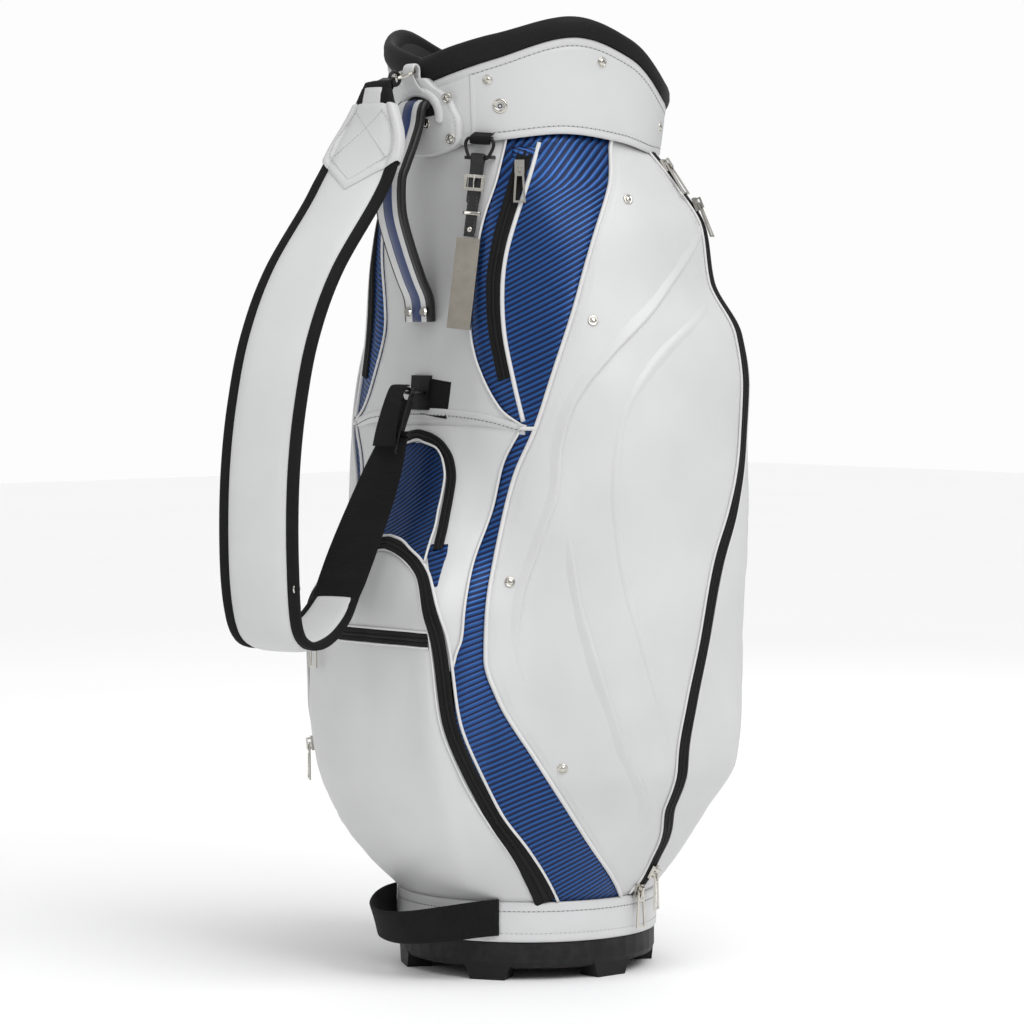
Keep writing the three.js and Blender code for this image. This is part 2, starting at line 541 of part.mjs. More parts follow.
// ---- Zip sliders and pull tabs --------------------------------------------------------------------------
// Made upright at the origin, facing the front (-Y): the slider's underside is at Y = 0.
function sliderShape() {
  const { width, length, height } = SLIDER;
  const { half, rise, bar } = BAIL;
  const reach = height + rise;
  return joined(
    box(width, height, length, 0, -height / 2, 0),
    box(BAIL.width, reach, bar, 0, -reach / 2, half),
    box(BAIL.width, reach, bar, 0, -reach / 2, -half),
    box(BAIL.width, bar, 2 * half + bar, 0, -(reach - bar / 2), 0),
  );
}

// An open pull: a pin under the bail, then a flat frame that widens towards its lower end.
function tabShape() {
  const { width, flare, length, thickness, start, pin, wire } = TAB;
  const low = pin - length;
  const edge = (inset, top, bottom) => {
    const half = (z) => width / 2 + ((flare - width) / 2) * ((pin - z) / length) - inset;
    return [[-half(top), top], [-half(bottom), bottom], [half(bottom), bottom], [half(top), top]]
      .map((point) => new THREE.Vector2(...point));
  };
  const frame = new THREE.Shape(edge(0, pin, low));
  frame.holes.push(new THREE.Path(edge(wire, -pin - 0.2, 0.6 - start)));
  frame.holes.push(new THREE.Path(edge(wire, -start - wire, low + wire)));
  const flat = new THREE.ExtrudeGeometry(frame, { depth: thickness, bevelEnabled: false });
  return flat.translate(0, 0, -thickness / 2).rotateX(rad(90));
}
const pinY = -(SLIDER.height + (BAIL.rise - BAIL.bar) / 2);

// Sets the slider in a frame on its track, and the tab hanging from the slider's bail: straight down, or
// along the skin where that is in the way.
function addZip(name, frame, lean = 0) {
  const down = new THREE.Vector3(0, 0, -1).transformDirection(frame.clone().invert());
  const hang = Math.max(rad(lean), Math.atan2(-down.y, -down.z));
  add(`${name}_slider`, sliderShape().applyMatrix4(frame), STEEL);
  add(`${name}_tab`, tabShape().rotateX(-hang).translate(0, pinY, 0).applyMatrix4(frame), STEEL);
}

// A frame on a straight track between two points of the skin: X to the side, -Y outwards, Z up the
// track, lifted enough for the slider to clear the skin all the way along.
function trackFrame({ from, to, level }, side) {
  const start = polar(side * from[0], skin(...from), from[1]);
  const end = polar(side * to[0], skin(...to), to[1]);
  const heading = end.clone().sub(start).normalize();
  if (heading.z < 0) heading.negate();
  const radial = polar((side * (from[0] + (level ? to[0] : from[0]))) / 2, 1, 0);
  const track = level ? new THREE.Vector3(0, 0, 1) : heading;
  const inward = radial.clone().addScaledVector(track, -radial.dot(track)).negate().normalize();
  const up = new THREE.Vector3(0, 0, 1).addScaledVector(inward, -inward.z).normalize();
  const across = new THREE.Vector3().crossVectors(inward, up).normalize();
  let lift = 0;
  for (let n = 0; n <= 20; n += 1)
    for (const offset of [-0.5, 0, 0.5])
      for (const rise of [-0.5, 0, 0.5]) {
        const at = start.clone().lerp(end, n / 20)
          .addScaledVector(across, offset * SLIDER.width).addScaledVector(up, rise * SLIDER.length);
        const angle = THREE.MathUtils.radToDeg(Math.atan2(at.x, -at.y));
        lift = Math.max(lift, (skin(angle, at.z) - Math.hypot(at.x, at.y)) * -inward.dot(radial));
      }
  start.addScaledVector(inward, -(lift + SLIDER.clearance));
  return new THREE.Matrix4().makeBasis(across, inward, up).setPosition(start);
}

for (const [name, zip] of Object.entries(ZIPS)) {
  addZip(`${name}_zip${zip.left ? "_right" : ""}`, trackFrame(zip, 1));
  if (zip.left) addZip(`${name}_zip_left`, trackFrame(zip, -1));
}
addZip("accessory_zip", new THREE.Matrix4()
  .makeTranslation(0, -ARC_ZIP.centre[0], ARC_ZIP.centre[1])
  .multiply(new THREE.Matrix4().makeRotationX(rad(-ARC_ZIP.tilt)))
  .multiply(new THREE.Matrix4().makeRotationY(rad(ARC_ZIP.at)))
  .multiply(new THREE.Matrix4().makeTranslation(0, -ARC_ZIP.clearance, ARC_ZIP.radius))
  .multiply(new THREE.Matrix4().makeRotationY(rad(90))), ARC_ZIP.lean);

export default bag;
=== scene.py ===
# A golf caddie bag dressed for its photograph: sewn skin, zips, piping, stitching, straps and hardware
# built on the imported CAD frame, with procedural materials, a pale floor and soft studio light.
import json
import math

import bpy
from mathutils import Matrix, Vector, noise


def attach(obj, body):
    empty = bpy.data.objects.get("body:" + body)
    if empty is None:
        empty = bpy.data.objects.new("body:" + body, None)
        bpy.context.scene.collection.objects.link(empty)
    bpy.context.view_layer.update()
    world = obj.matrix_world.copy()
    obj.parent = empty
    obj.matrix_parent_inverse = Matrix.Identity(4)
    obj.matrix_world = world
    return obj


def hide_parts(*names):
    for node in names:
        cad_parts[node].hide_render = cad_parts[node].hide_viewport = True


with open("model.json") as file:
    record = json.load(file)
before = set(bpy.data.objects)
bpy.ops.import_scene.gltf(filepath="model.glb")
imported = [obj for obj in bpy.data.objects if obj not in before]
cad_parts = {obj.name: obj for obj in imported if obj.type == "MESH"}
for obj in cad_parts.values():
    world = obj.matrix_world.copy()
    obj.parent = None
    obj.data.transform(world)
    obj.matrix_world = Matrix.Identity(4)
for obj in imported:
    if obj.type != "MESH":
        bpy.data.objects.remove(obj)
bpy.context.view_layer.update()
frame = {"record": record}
MM = 0.001

# ---- Camera --------------------------------------------------------------------------------------
AZIMUTH = math.radians(48)
toward = Vector((math.sin(AZIMUTH), -math.cos(AZIMUTH), 0))
rightward = Vector((math.cos(AZIMUTH), math.sin(AZIMUTH), 0))
lens = bpy.data.cameras.new("camera")
lens.lens, lens.sensor_width = 140, 36
camera = bpy.data.objects.new("camera", lens)
bpy.context.scene.collection.objects.link(camera)
camera.location = toward * 3.8 + Vector((0, 0, 0.625))
aim = rightward * -0.014 + Vector((0, 0, 0.431))
camera.rotation_euler = (aim - camera.location).to_track_quat("-Z", "Y").to_euler()
bpy.context.scene.camera = camera


# ---- Curves and the bag's skin -------------------------------------------------------------------
def curve_through(knots):
    """A smooth monotone curve through (x, y) knots, held level past both ends."""
    xs, ys = [k[0] for k in knots], [k[1] for k in knots]
    slopes = [(ys[i + 1] - ys[i]) / (xs[i + 1] - xs[i]) for i in range(len(xs) - 1)]
    tangents = [slopes[0]]
    for a, b in zip(slopes, slopes[1:]):
        tangents.append(0.0 if a * b <= 0 else 2 * a * b / (a + b))
    tangents.append(slopes[-1])

    def at(x):
        x = min(max(x, xs[0]), xs[-1])
        i = 0
        while i < len(xs) - 2 and x > xs[i + 1]:
            i += 1
        h = xs[i + 1] - xs[i]
        t = (x - xs[i]) / h
        rise = t * t * (3 - 2 * t)
        bend = h * t * (1 - t) * ((1 - t) * tangents[i] - t * tangents[i + 1])
        return ys[i] * (1 - rise) + ys[i + 1] * rise + bend

    return at


SKIN_ANGLES = [0, 15, 24, 30, 38, 50, 64, 78, 92, 106, 116, 124, 134, 150, 180]
SKIN_ROWS = [
    (74, [123, 123, 123, 123, 123, 123, 123, 123, 123, 123, 123, 123, 123, 123, 123]),
    (110, [155, 158, 160, 152, 146, 142, 140, 140, 140, 142, 146, 150, 140, 126, 124]),
    (150, [180, 184, 189, 178, 164, 158, 158, 160, 162, 166, 172, 176, 156, 130, 125]),
    (200, [196, 202, 208, 196, 176, 170, 174, 182, 186, 192, 200, 205, 174, 136, 126]),
    (260, [199, 205, 215, 204, 184, 172, 178, 188, 190, 196, 207, 210, 178, 138, 126]),
    (340, [199, 205, 215, 204, 186, 174, 180, 190, 192, 198, 208, 211, 180, 138, 126]),
    (400, [178, 182, 184, 180, 172, 172, 180, 190, 194, 200, 210, 214, 182, 138, 126]),
    (450, [150, 152, 154, 154, 158, 170, 180, 190, 195, 201, 211, 215, 184, 138, 126]),
    (500, [136, 138, 141, 146, 154, 168, 178, 187, 194, 200, 210, 214, 184, 138, 126]),
    (550, [130, 132, 137, 144, 152, 163, 172, 182, 190, 198, 209, 215, 184, 138, 126]),
    (600, [127, 130, 136, 144, 150, 156, 162, 170, 180, 190, 200, 207, 178, 137, 125]),
    (650, [125, 128, 135, 143, 148, 149, 151, 156, 164, 171, 176, 180, 164, 134, 125]),
    (700, [124, 126, 132, 138, 142, 142, 142, 146, 154, 164, 170, 172, 156, 131, 124]),
    (740, [123, 124, 128, 131, 133, 132, 131, 133, 138, 144, 148, 148, 138, 127, 123]),
    (775, [122, 122, 122, 122, 122, 122, 122, 122, 122, 122, 122, 122, 122, 122, 122]),
]
columns = [curve_through([(z, row[k]) for z, row in SKIN_ROWS]) for k in range(len(SKIN_ANGLES))]
Z_LOW, Z_STEP = 70, 3
skin_table = []
for n in range(241):
    ring = curve_through([(a, c(Z_LOW + n * Z_STEP)) for a, c in zip(SKIN_ANGLES, columns)])
    skin_table.append([ring(a) for a in range(181)])


def folded(angle):
    return abs((angle + 540) % 360 - 180)


def skin(angle, z):
    """The skin's radius in millimetres, at an angle in degrees from the front and a height."""
    a = min(folded(angle), 179.999)
    r = min(max((z - Z_LOW) / Z_STEP, 0), 239.999)
    i, j = int(r), int(a)
    u, v = r - i, a - j
    low, high = skin_table[i], skin_table[i + 1]
    return (low[j] * (1 - v) + low[j + 1] * v) * (1 - u) + (high[j] * (1 - v) + high[j + 1] * v) * u


def polar(angle, radius, z):
    turn = math.radians(angle)
    return Vector((radius * math.sin(turn), -radius * math.cos(turn), z)) * MM


def on_skin(angle, z, lift=0.0):
    return polar(angle, skin(angle, z) + lift, z)


def skin_normal(angle, z, surface=on_skin):
    across = surface(angle + 1.2, z) - surface(angle - 1.2, z)
    up = surface(angle, z + 3) - surface(angle, z - 3)
    return across.cross(up).normalized()


rim_edge = curve_through([(0, 831), (35, 854), (68, 874), (95, 857), (125, 822), (180, 800)])
collar_edge = curve_through([(0, 771), (40, 781), (64, 786), (90, 780), (120, 770), (180, 769)])


def on_collar(angle, z, lift=0.0):
    """A point on the collar's outer face, which widens from its lower edge to its rim."""
    a = folded(angle)
    share = (z - collar_edge(a)) / (rim_edge(a) - collar_edge(a))
    return polar(angle, 125.5 + 6 * min(max(share, -0.1), 1.1) + lift, z)


# ---- Mesh builders -------------------------------------------------------------------------------
def add_object(name, verts, faces, uvs, mat, body="bag"):
    """A mesh object with one UV pair, in metres, for each vertex."""
    mesh = bpy.data.meshes.new(name)
    mesh.from_pydata(verts, [], faces)
    layer = mesh.uv_layers.new(name="metres")
    for loop in mesh.loops:
        layer.data[loop.index].uv = uvs[loop.vertex_index]
    mesh.materials.append(mat)
    mesh.polygons.foreach_set("use_smooth", [True] * len(mesh.polygons))
    mesh.update()
    obj = bpy.data.objects.new(name, mesh)
    bpy.context.scene.collection.objects.link(obj)
    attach(obj, body)
    return obj


def grid_faces(rows, cols, wrap=False, flip=False):
    faces = []
    width = cols if wrap else cols + 1
    for i in range(rows):
        for j in range(cols):
            k = (j + 1) % width
            quad = [i * width + j, i * width + k, (i + 1) * width + k, (i + 1) * width + j]
            faces.append(quad[::-1] if flip else quad)
    return faces


def spread(count):
    """Shares from 0 to 1, closer together towards both ends."""
    return [0.5 - 0.5 * math.cos(math.pi * n / count) if count > 1 else n for n in range(count + 1)]


def sweep(name, frames, profile, mat, body="bag", closed=True, scale=None, ends=None):
    """A profile of (side, out) millimetres carried along frames of (point, side, out)."""
    verts, uvs, run = [], [], 0.0
    girth = [0.0]
    for a, b in zip(profile, profile[1:] + profile[:1]):
        girth.append(girth[-1] + math.dist(a, b) * MM)
    for n, (point, side, out) in enumerate(frames):
        if n:
            run += (point - frames[n - 1][0]).length
        wide, deep = scale(n / (len(frames) - 1)) if scale else (1, 1)
        for k, (u, v) in enumerate(profile):
            verts.append(point + side * (u * wide * MM) + out * (v * deep * MM))
            uvs.append((run, girth[k]))
    count = len(profile)
    loop = ends == "join"
    rows = len(frames) - 1
    faces = grid_faces(rows, count if closed else count - 1, wrap=closed, flip=not closed)
    if loop:
        base = rows * count
        faces += [[base + k, base + (k + 1) % count, (k + 1) % count, k] for k in range(count)]
    elif closed:
        faces.append(list(range(count))[::-1])
        faces.append([rows * count + k for k in range(count)])
    return add_object(name, verts, faces, uvs, mat, body)


def ellipse(width, height, count=12, power=1.0):
    """A closed oval profile; a power below 1 squares it off."""
    points = []
    for n in range(count):
        turn = 2 * math.pi * (n + 0.5) / count
        c, s = math.cos(turn), math.sin(turn)
        points.append((width / 2 * math.copysign(abs(c) ** power, c), height / 2 * math.copysign(abs(s) ** power, s)))
    return points


def smooth_line(points, count, loop=False):
    """Points spaced evenly along a Catmull-Rom curve through the given vectors."""
    pts = [Vector(p) for p in points]
    if loop:
        padded = [pts[-1]] + pts + [pts[0], pts[1]]
    else:
        padded = [pts[0] * 2 - pts[1]] + pts + [pts[-1] * 2 - pts[-2]]
    dense = []
    for a, b, c, d in zip(padded, padded[1:], padded[2:], padded[3:]):
        for n in range(24):
            t = n / 24
            dense.append(0.5 * ((2 * b) + (c - a) * t + (2 * a - 5 * b + 4 * c - d) * t ** 2
                                + (3 * b - a - 3 * c + d) * t ** 3))
    dense.append(padded[-2])
    lengths = [0.0]
    for a, b in zip(dense, dense[1:]):
        lengths.append(lengths[-1] + (b - a).length)
    result, i = [], 0
    for n in range(count + 1):
        want = lengths[-1] * n / count
        while i < len(lengths) - 2 and lengths[i + 1] < want:
            i += 1
        t = (want - lengths[i]) / max(lengths[i + 1] - lengths[i], 1e-9)
        result.append(dense[i].lerp(dense[i + 1], t))
    return result[:-1] if loop else result


def skin_line(knots, step=4.0, surface=on_skin, lift=0.0):
    """Frames along a line on the skin through (angle, height) knots: point, side and outward direction."""
    flat = [Vector((a * 2.6, z, 0)) for a, z in knots]
    length = sum((b - a).length for a, b in zip(flat, flat[1:]))
    line = smooth_line(flat, max(4, int(length / step)))
    frames = []
    for n, p in enumerate(line):
        a, z = p.x / 2.6, p.y
        before, after = line[max(n - 1, 0)], line[min(n + 1, len(line) - 1)]
        heading = (surface(after.x / 2.6, after.y) - surface(before.x / 2.6, before.y)).normalized()
        out = skin_normal(a, z, surface)
        frames.append((surface(a, z) + out * (lift * MM), out.cross(heading).normalized(), out))
    return frames


def mirror_knots(knots):
    return [(-a, z) for a, z in knots]


def on_side(side, knots):
    return [(side * a, z) for a, z in knots]


def both_sides(knots):
    """The line and its mirror image, as (suffix, knots)."""
    return [("right", knots), ("left", mirror_knots(knots))]


def plane_line(points, count, twist=None):
    """Frames along a line in the plane X = 0, given as (y, z) millimetres."""
    line = smooth_line([Vector((0, y, z)) * MM for y, z in points], count)
    frames = []
    for n, p in enumerate(line):
        heading = (line[min(n + 1, count)] - line[max(n - 1, 0)]).normalized()
        turn = math.radians(twist(n / count)) if twist else 0
        side = Vector((math.cos(turn), math.sin(turn), 0))
        frames.append((p, side, heading.cross(side).normalized()))
    return frames


# ---- Materials -----------------------------------------------------------------------------------
class Nodes:
    """A short way to write a material's node tree."""

    def __init__(self, name):
        self.material = bpy.data.materials.new(name)
        self.material.use_nodes = True
        self.tree = self.material.node_tree
        self.shader = self.tree.nodes["Principled BSDF"]
        coords = self.tree.nodes.new("ShaderNodeTexCoord")
        self.place, self.metres = coords.outputs["Object"], coords.outputs["UV"]

    def add(self, kind, inputs=None, **settings):
        node = self.tree.nodes.new("ShaderNode" + kind)
        for key, value in settings.items():
            setattr(node, key, value)
        for key, value in (inputs or {}).items():
            self.feed(node.inputs[key], value)
        return node

    def feed(self, socket, value):
        if isinstance(value, bpy.types.NodeSocket):
            self.tree.links.new(value, socket)
        else:
            socket.default_value = value

    def set(self, **values):
        for key, value in values.items():
            self.feed(self.shader.inputs[key.replace("_", " ")], value)

    def noise(self, scale, detail=2.0, vector=None, roughness=0.5):
        return self.add("TexNoise", {"Vector": vector or self.place, "Scale": scale, "Detail": detail,
                                     "Roughness": roughness}).outputs["Fac"]

    def grain(self, scale):
        return self.add("TexVoronoi", {"Vector": self.place, "Scale": scale}).outputs["Distance"]

    def math(self, operation, a, b=0.0):
        return self.add("Math", {0: a, 1: b}, operation=operation).outputs[0]

    def span(self, value, low, high, new_low, new_high):
        return self.add("MapRange", {"Value": value, "From Min": low, "From Max": high, "To Min": new_low,
                                     "To Max": new_high}).outputs["Result"]

    def mix(self, factor, a, b):
        node = self.add("Mix", data_type="RGBA")
        self.feed(node.inputs[0], factor)
        self.feed(node.inputs[6], a)
        self.feed(node.inputs[7], b)
        return node.outputs[2]

    def bump(self, height, distance, strength=1.0, after=None):
        inputs = {"Height": height, "Distance": distance, "Strength": strength}
        if after:
            inputs["Normal"] = after
        return self.add("Bump", inputs).outputs["Normal"]

    def edges(self):
        """0 on flats and 1 on worn outer edges."""
        point = self.add("NewGeometry").outputs["Pointiness"]
        return self.span(point, 0.52, 0.6, 0.0, 1.0)


def grey(v, tint=(1.0, 1.0, 1.0)):
    return (v * tint[0], v * tint[1], v * tint[2], 1.0)


def leather(name, dark, light, rough, grain_size, depth, coat=0.1, tint=(1.0, 1.0, 1.0)):
    m = Nodes(name)
    cloud = m.noise(7.0, 3.0)
    colour = m.mix(m.span(cloud, 0.35, 0.65, 0.0, 1.0), grey(dark, tint), grey(light, tint))
    worn = m.mix(m.math("MULTIPLY", m.edges(), 0.35), colour, grey(light * 0.78, (1.0, 0.97, 0.93)))
    pebbles = m.grain(1.0 / grain_size)
    fine = m.noise(2.6 / grain_size, 4.0)
    normal = m.bump(pebbles, depth, 0.55)
    normal = m.bump(fine, depth * 0.8, 0.5, normal)
    m.set(Base_Color=worn, Roughness=m.span(m.noise(38.0, 3.0), 0.3, 0.7, rough - 0.05, rough + 0.07),
          Normal=normal, Coat_Weight=coat, Coat_Roughness=0.32, Specular_IOR_Level=0.42)
    return m.material


white = leather("white_leather", 0.58, 0.63, 0.4, 0.0011, 0.00007, tint=(0.99, 0.995, 1.0))
white_smooth = leather("white_binding", 0.66, 0.72, 0.44, 0.0008, 0.00004, 0.06)
black_leather = leather("black_leather", 0.006, 0.01, 0.4, 0.0009, 0.00008, 0.06)


def ribbed_blue(name, slant, pitch=0.0047, shade=1.0):
    """Metallic blue cloth with slanting moulded ribs, each painted light on its upper side as a highlight and dark
    below as shade.
    """
    m = Nodes(name)
    split = m.add("SeparateXYZ", {"Vector": m.metres})
    along, across = split.outputs["X"], split.outputs["Y"]
    wavy = m.math("MULTIPLY", m.math("SUBTRACT", m.noise(5.0, 1.0), 0.5), pitch * 4.0)
    run = m.math("ADD", m.math("MULTIPLY", across, math.cos(slant)), m.math("MULTIPLY", along, -math.sin(slant)))
    phase = m.math("FRACT", m.math("DIVIDE", m.math("ADD", run, wavy), pitch))
    rib = m.add("FloatCurve", {"Value": phase})
    curve = rib.mapping.curves[0]
    curve.points[0].location, curve.points[1].location = (0.0, 0.0), (1.0, 0.0)
    for x, y in [(0.16, 0.1), (0.46, 0.78), (0.7, 1.0), (0.88, 0.62)]:
        curve.points.new(x, y)
    rib.mapping.update()
    height = rib.outputs[0]
    weave = m.grain(1500.0)
    # Rib colours by height: the darkest is painted shade in the troughs, the lightest a painted highlight on the
    # crests.
    deep = (0.002 * shade, 0.008 * shade, 0.04 * shade, 1.0)
    mid = (0.006 * shade, 0.026 * shade, 0.12 * shade, 1.0)
    painted_rib_highlight = (0.016 * shade, 0.09 * shade, 0.3 * shade, 1.0)
    base = m.mix(m.span(height, 0.0, 0.6, 0.0, 1.0), deep, mid)
    base = m.mix(m.span(height, 0.55, 1.0, 0.0, 1.0), base, painted_rib_highlight)
    normal = m.bump(height, 0.0009, 0.75)
    normal = m.bump(weave, 0.00006, 0.3, normal)
    m.set(Base_Color=base, Metallic=0.6, Roughness=m.span(m.noise(60.0), 0.3, 0.7, 0.28, 0.4), Normal=normal,
          Coat_Weight=0.1, Coat_Roughness=0.25)
    return m.material


blue = ribbed_blue("blue_ribbed_cloth", math.radians(24))
blue_left = ribbed_blue("blue_ribbed_cloth_left", math.radians(-24))
blue_window = ribbed_blue("blue_ribbed_window", math.radians(30), 0.0042, 0.8)


def woven(name, tone, pitch, depth, rough, sheen):
    """Woven tape or webbing: ribs across it, and a finer thread along it."""
    m = Nodes(name)
    split = m.add("SeparateXYZ", {"Vector": m.metres})
    along, across = split.outputs["X"], split.outputs["Y"]
    bars = m.math("SINE", m.math("MULTIPLY", along, 2 * math.pi / pitch))
    threads = m.math("SINE", m.math("MULTIPLY", across, 2 * math.pi / (pitch * 0.8)))
    weave = m.math("ADD", m.math("MULTIPLY", bars, 0.6), m.math("MULTIPLY", m.math("MULTIPLY", bars, threads), 0.4))
    fuzz = m.noise(2400.0, 2.0)
    colour = m.mix(m.span(weave, -0.8, 0.9, 0.0, 1.0), grey(tone * 0.45), grey(tone * 1.35))
    colour = m.mix(m.math("MULTIPLY", m.span(m.noise(35.0), 0.45, 0.75, 0.0, 1.0), 0.35), colour, grey(tone * 1.9))
    normal = m.bump(weave, depth, 0.8)
    normal = m.bump(fuzz, depth * 0.4, 0.5, normal)
    m.set(Base_Color=colour, Roughness=rough, Normal=normal, Sheen_Weight=sheen, Sheen_Roughness=0.5,
          Specular_IOR_Level=0.2)
    return m.material


tape = woven("zip_tape", 0.005, 0.0011, 0.00012, 0.72, 0.04)
webbing = woven("black_webbing", 0.006, 0.0017, 0.0003, 0.85, 0.03)
binding = woven("black_binding", 0.006, 0.0012, 0.00016, 0.78, 0.02)
coil = woven("zip_coil", 0.007, 0.0016, 0.0004, 0.45, 0.0)


def soft_black(name, tone, size):
    m = Nodes(name)
    knit = m.grain(1.0 / size)
    fuzz = m.noise(3.0 / size, 3.0)
    colour = m.mix(m.span(knit, 0.1, 0.7, 0.0, 1.0), grey(tone * 0.6), grey(tone * 1.5))
    normal = m.bump(knit, size * 0.16, 0.6)
    normal = m.bump(fuzz, size * 0.1, 0.5, normal)
    m.set(Base_Color=colour, Roughness=m.span(m.noise(22.0), 0.3, 0.7, 0.62, 0.78), Normal=normal,
          Sheen_Weight=0.04, Sheen_Roughness=0.45, Specular_IOR_Level=0.22)
    return m.material


knit_black = soft_black("rim_knit", 0.006, 0.0012)
lining = soft_black("tube_lining_cloth", 0.007, 0.0016)


def metal(name, colour, rough, scratches=0.05, brushed=False):
    m = Nodes(name)
    split = m.add("Mapping", {"Vector": m.place, "Scale": (1.0, 1.0, 40.0) if brushed else (1.0, 1.0, 1.0)})
    marks = m.noise(900.0 if not brushed else 60.0, 4.0, split.outputs["Vector"], 0.65)
    smudge = m.noise(90.0, 3.0)
    m.set(Base_Color=m.mix(m.span(smudge, 0.35, 0.7, 0.0, 1.0), colour, tuple(c * 0.86 for c in colour[:3]) + (1.0,)),
          Metallic=1.0, Roughness=m.span(marks, 0.3, 0.7, rough - scratches, rough + scratches),
          Normal=m.bump(marks, 0.00003, 0.25))
    return m.material


chrome = metal("polished_metal", (0.62, 0.6, 0.55, 1.0), 0.14)
brushed = metal("brushed_plate", (0.36, 0.335, 0.29, 1.0), 0.34, 0.08, True)


def moulded(name, tone, rough):
    m = Nodes(name)
    texture = m.noise(1300.0, 3.0)
    cloud = m.noise(14.0, 3.0)
    scuffs = m.math("MULTIPLY", m.edges(), m.span(m.noise(120.0, 4.0), 0.4, 0.7, 0.0, 0.8))
    colour = m.mix(m.span(cloud, 0.3, 0.7, 0.0, 1.0), grey(tone * 0.75), grey(tone * 1.25))
    m.set(Base_Color=m.mix(scuffs, colour, grey(tone * 4.0)),
          Roughness=m.span(texture, 0.3, 0.7, rough - 0.06, rough + 0.1), Normal=m.bump(texture, 0.00012, 0.5),
          Specular_IOR_Level=0.28)
    return m.material


plastic = moulded("moulded_base", 0.006, 0.5)
hard_plastic = moulded("moulded_hooks", 0.005, 0.34)


def stitch_material(name, colour):
    m = Nodes(name)
    twist = m.noise(2600.0, 2.0)
    m.set(Base_Color=m.mix(m.span(twist, 0.3, 0.7, 0.0, 1.0), colour, tuple(c * 0.6 for c in colour[:3]) + (1.0,)),
          Roughness=m.span(m.noise(400.0), 0.3, 0.7, 0.5, 0.7), Normal=m.bump(twist, 0.0001, 0.7))
    return m.material


thread = stitch_material("white_thread", (0.6, 0.6, 0.6, 1.0))
# Dark grey for the tag's dark thread, and for the needle holes beside the stitches, where it is painted shade.
shade = stitch_material("dark_thread_and_hole_shade", (0.09, 0.09, 0.095, 1.0))


# ---- Details that repeat -------------------------------------------------------------------------
def piping(name, knots, radius=1.5, lift=0.7):
    """A round white cord sewn along a line on the skin."""
    sweep(name, skin_line(knots, lift=lift), ellipse(2 * radius, 2 * radius, 8), white_smooth)


def zip_strip(name, knots, width=13.0, lift=0.9, scale=None):
    """A zip: two tapes with rolled edges and a coil down the middle."""
    frames = skin_line(knots, lift=lift)
    half = width / 2
    profile = [(-half, -2.2), (-half, 0.3), (-half + 1, 0.9), (-1.9, 0.5), (-1.5, 0.1), (-1.3, 0.9), (0, 1.35),
               (1.3, 0.9), (1.5, 0.1), (1.9, 0.5), (half - 1, 0.9), (half, 0.3), (half, -2.2)]
    strip = sweep(name, frames, profile, tape, closed=False, scale=scale)
    strip.data.materials.append(coil)
    for polygon in strip.data.polygons:
        if polygon.index % (len(profile) - 1) in (5, 6):
            polygon.material_index = 1


def capsule(point, along, out, length, radius):
    """Vertices and faces of a small flattened lozenge, such as one stitch."""
    side = out.cross(along)
    verts = [point - along * length / 2, point + along * length / 2]
    for shift in (-0.3, 0.3):
        for n in range(6):
            turn = math.pi * n / 3
            verts.append(point + along * (length * shift) + side * (radius * math.cos(turn))
                         + out * (radius * math.sin(turn)))
    faces = [[0, 2 + (n + 1) % 6, 2 + n] for n in range(6)] + [[1, 8 + n, 8 + (n + 1) % 6] for n in range(6)]
    faces += [[2 + n, 2 + (n + 1) % 6, 8 + (n + 1) % 6, 8 + n] for n in range(6)]
    return verts, faces


def stitches(name, frames, pitch=4.6, length=3.0, body="bag", mat=None, holes=True):
    """A row of stitches along frames, with a small dark lozenge of painted shade for the needle hole in the leather at
    the end of each one.
    """
    line = smooth_line([f[0] for f in frames], max(2, int(sum((b[0] - a[0]).length for a, b in
                                                           zip(frames, frames[1:])) / (pitch * MM))))
    groups = [(mat or thread, length * MM, 0.42 * MM, 0.0)]
    if holes:
        # Each needle hole is a small dark lozenge: painted shade in the hole.
        groups.append((shade, 1.5 * MM, 0.5 * MM, 0.5))
    verts, faces, which = [], [], []
    for index, (_, long, radius, shift) in enumerate(groups):
        for n in range(len(line) - 1):
            a, b = line[n], line[n + 1]
            near = frames[min(int(n / (len(line) - 1) * (len(frames) - 1)), len(frames) - 1)][2]
            along = (b - a).normalized()
            out = (near - along * near.dot(along)).normalized()
            sunk = out * (0.12 * MM if index else 0)
            vs, fs = capsule(a.lerp(b, 0.5 + shift * 0.98) - sunk, along, out, long, radius)
            faces += [[len(verts) + k for k in f] for f in fs]
            which += [index] * len(fs)
            verts += vs
    obj = add_object(name, verts, faces, [(v.x, v.z) for v in verts], groups[0][0], body)
    for mat_, *_ in groups[1:]:
        obj.data.materials.append(mat_)
    obj.data.polygons.foreach_set("material_index", which)
    return obj


def lathe(profile, point, axis, count=20):
    """Vertices and faces of a profile of (radius, height) millimetres turned about an axis at a point."""
    axis = axis.normalized()
    side = axis.orthogonal().normalized()
    other = axis.cross(side)
    verts = []
    for r, h in profile:
        for n in range(count):
            turn = 2 * math.pi * n / count
            verts.append(point + axis * (h * MM) + (side * math.cos(turn) + other * math.sin(turn)) * (r * MM))
    faces = grid_faces(len(profile) - 1, count, wrap=True)
    faces.append(list(range(count))[::-1])
    faces.append([(len(profile) - 1) * count + n for n in range(count)])
    return verts, faces


def merged(name, parts, mat, body="bag"):
    verts, faces = [], []
    for vs, fs in parts:
        faces += [[len(verts) + k for k in f] for f in fs]
        verts += vs
    return add_object(name, verts, faces, [(v.x, v.z) for v in verts], mat, body)


RIVET = [(4.9, -1.0), (4.9, 0.5), (4.5, 1.0), (3.7, 1.1), (3.3, 0.8), (2.9, 0.8), (2.5, 1.5), (1.5, 1.9), (0.4, 2.0)]


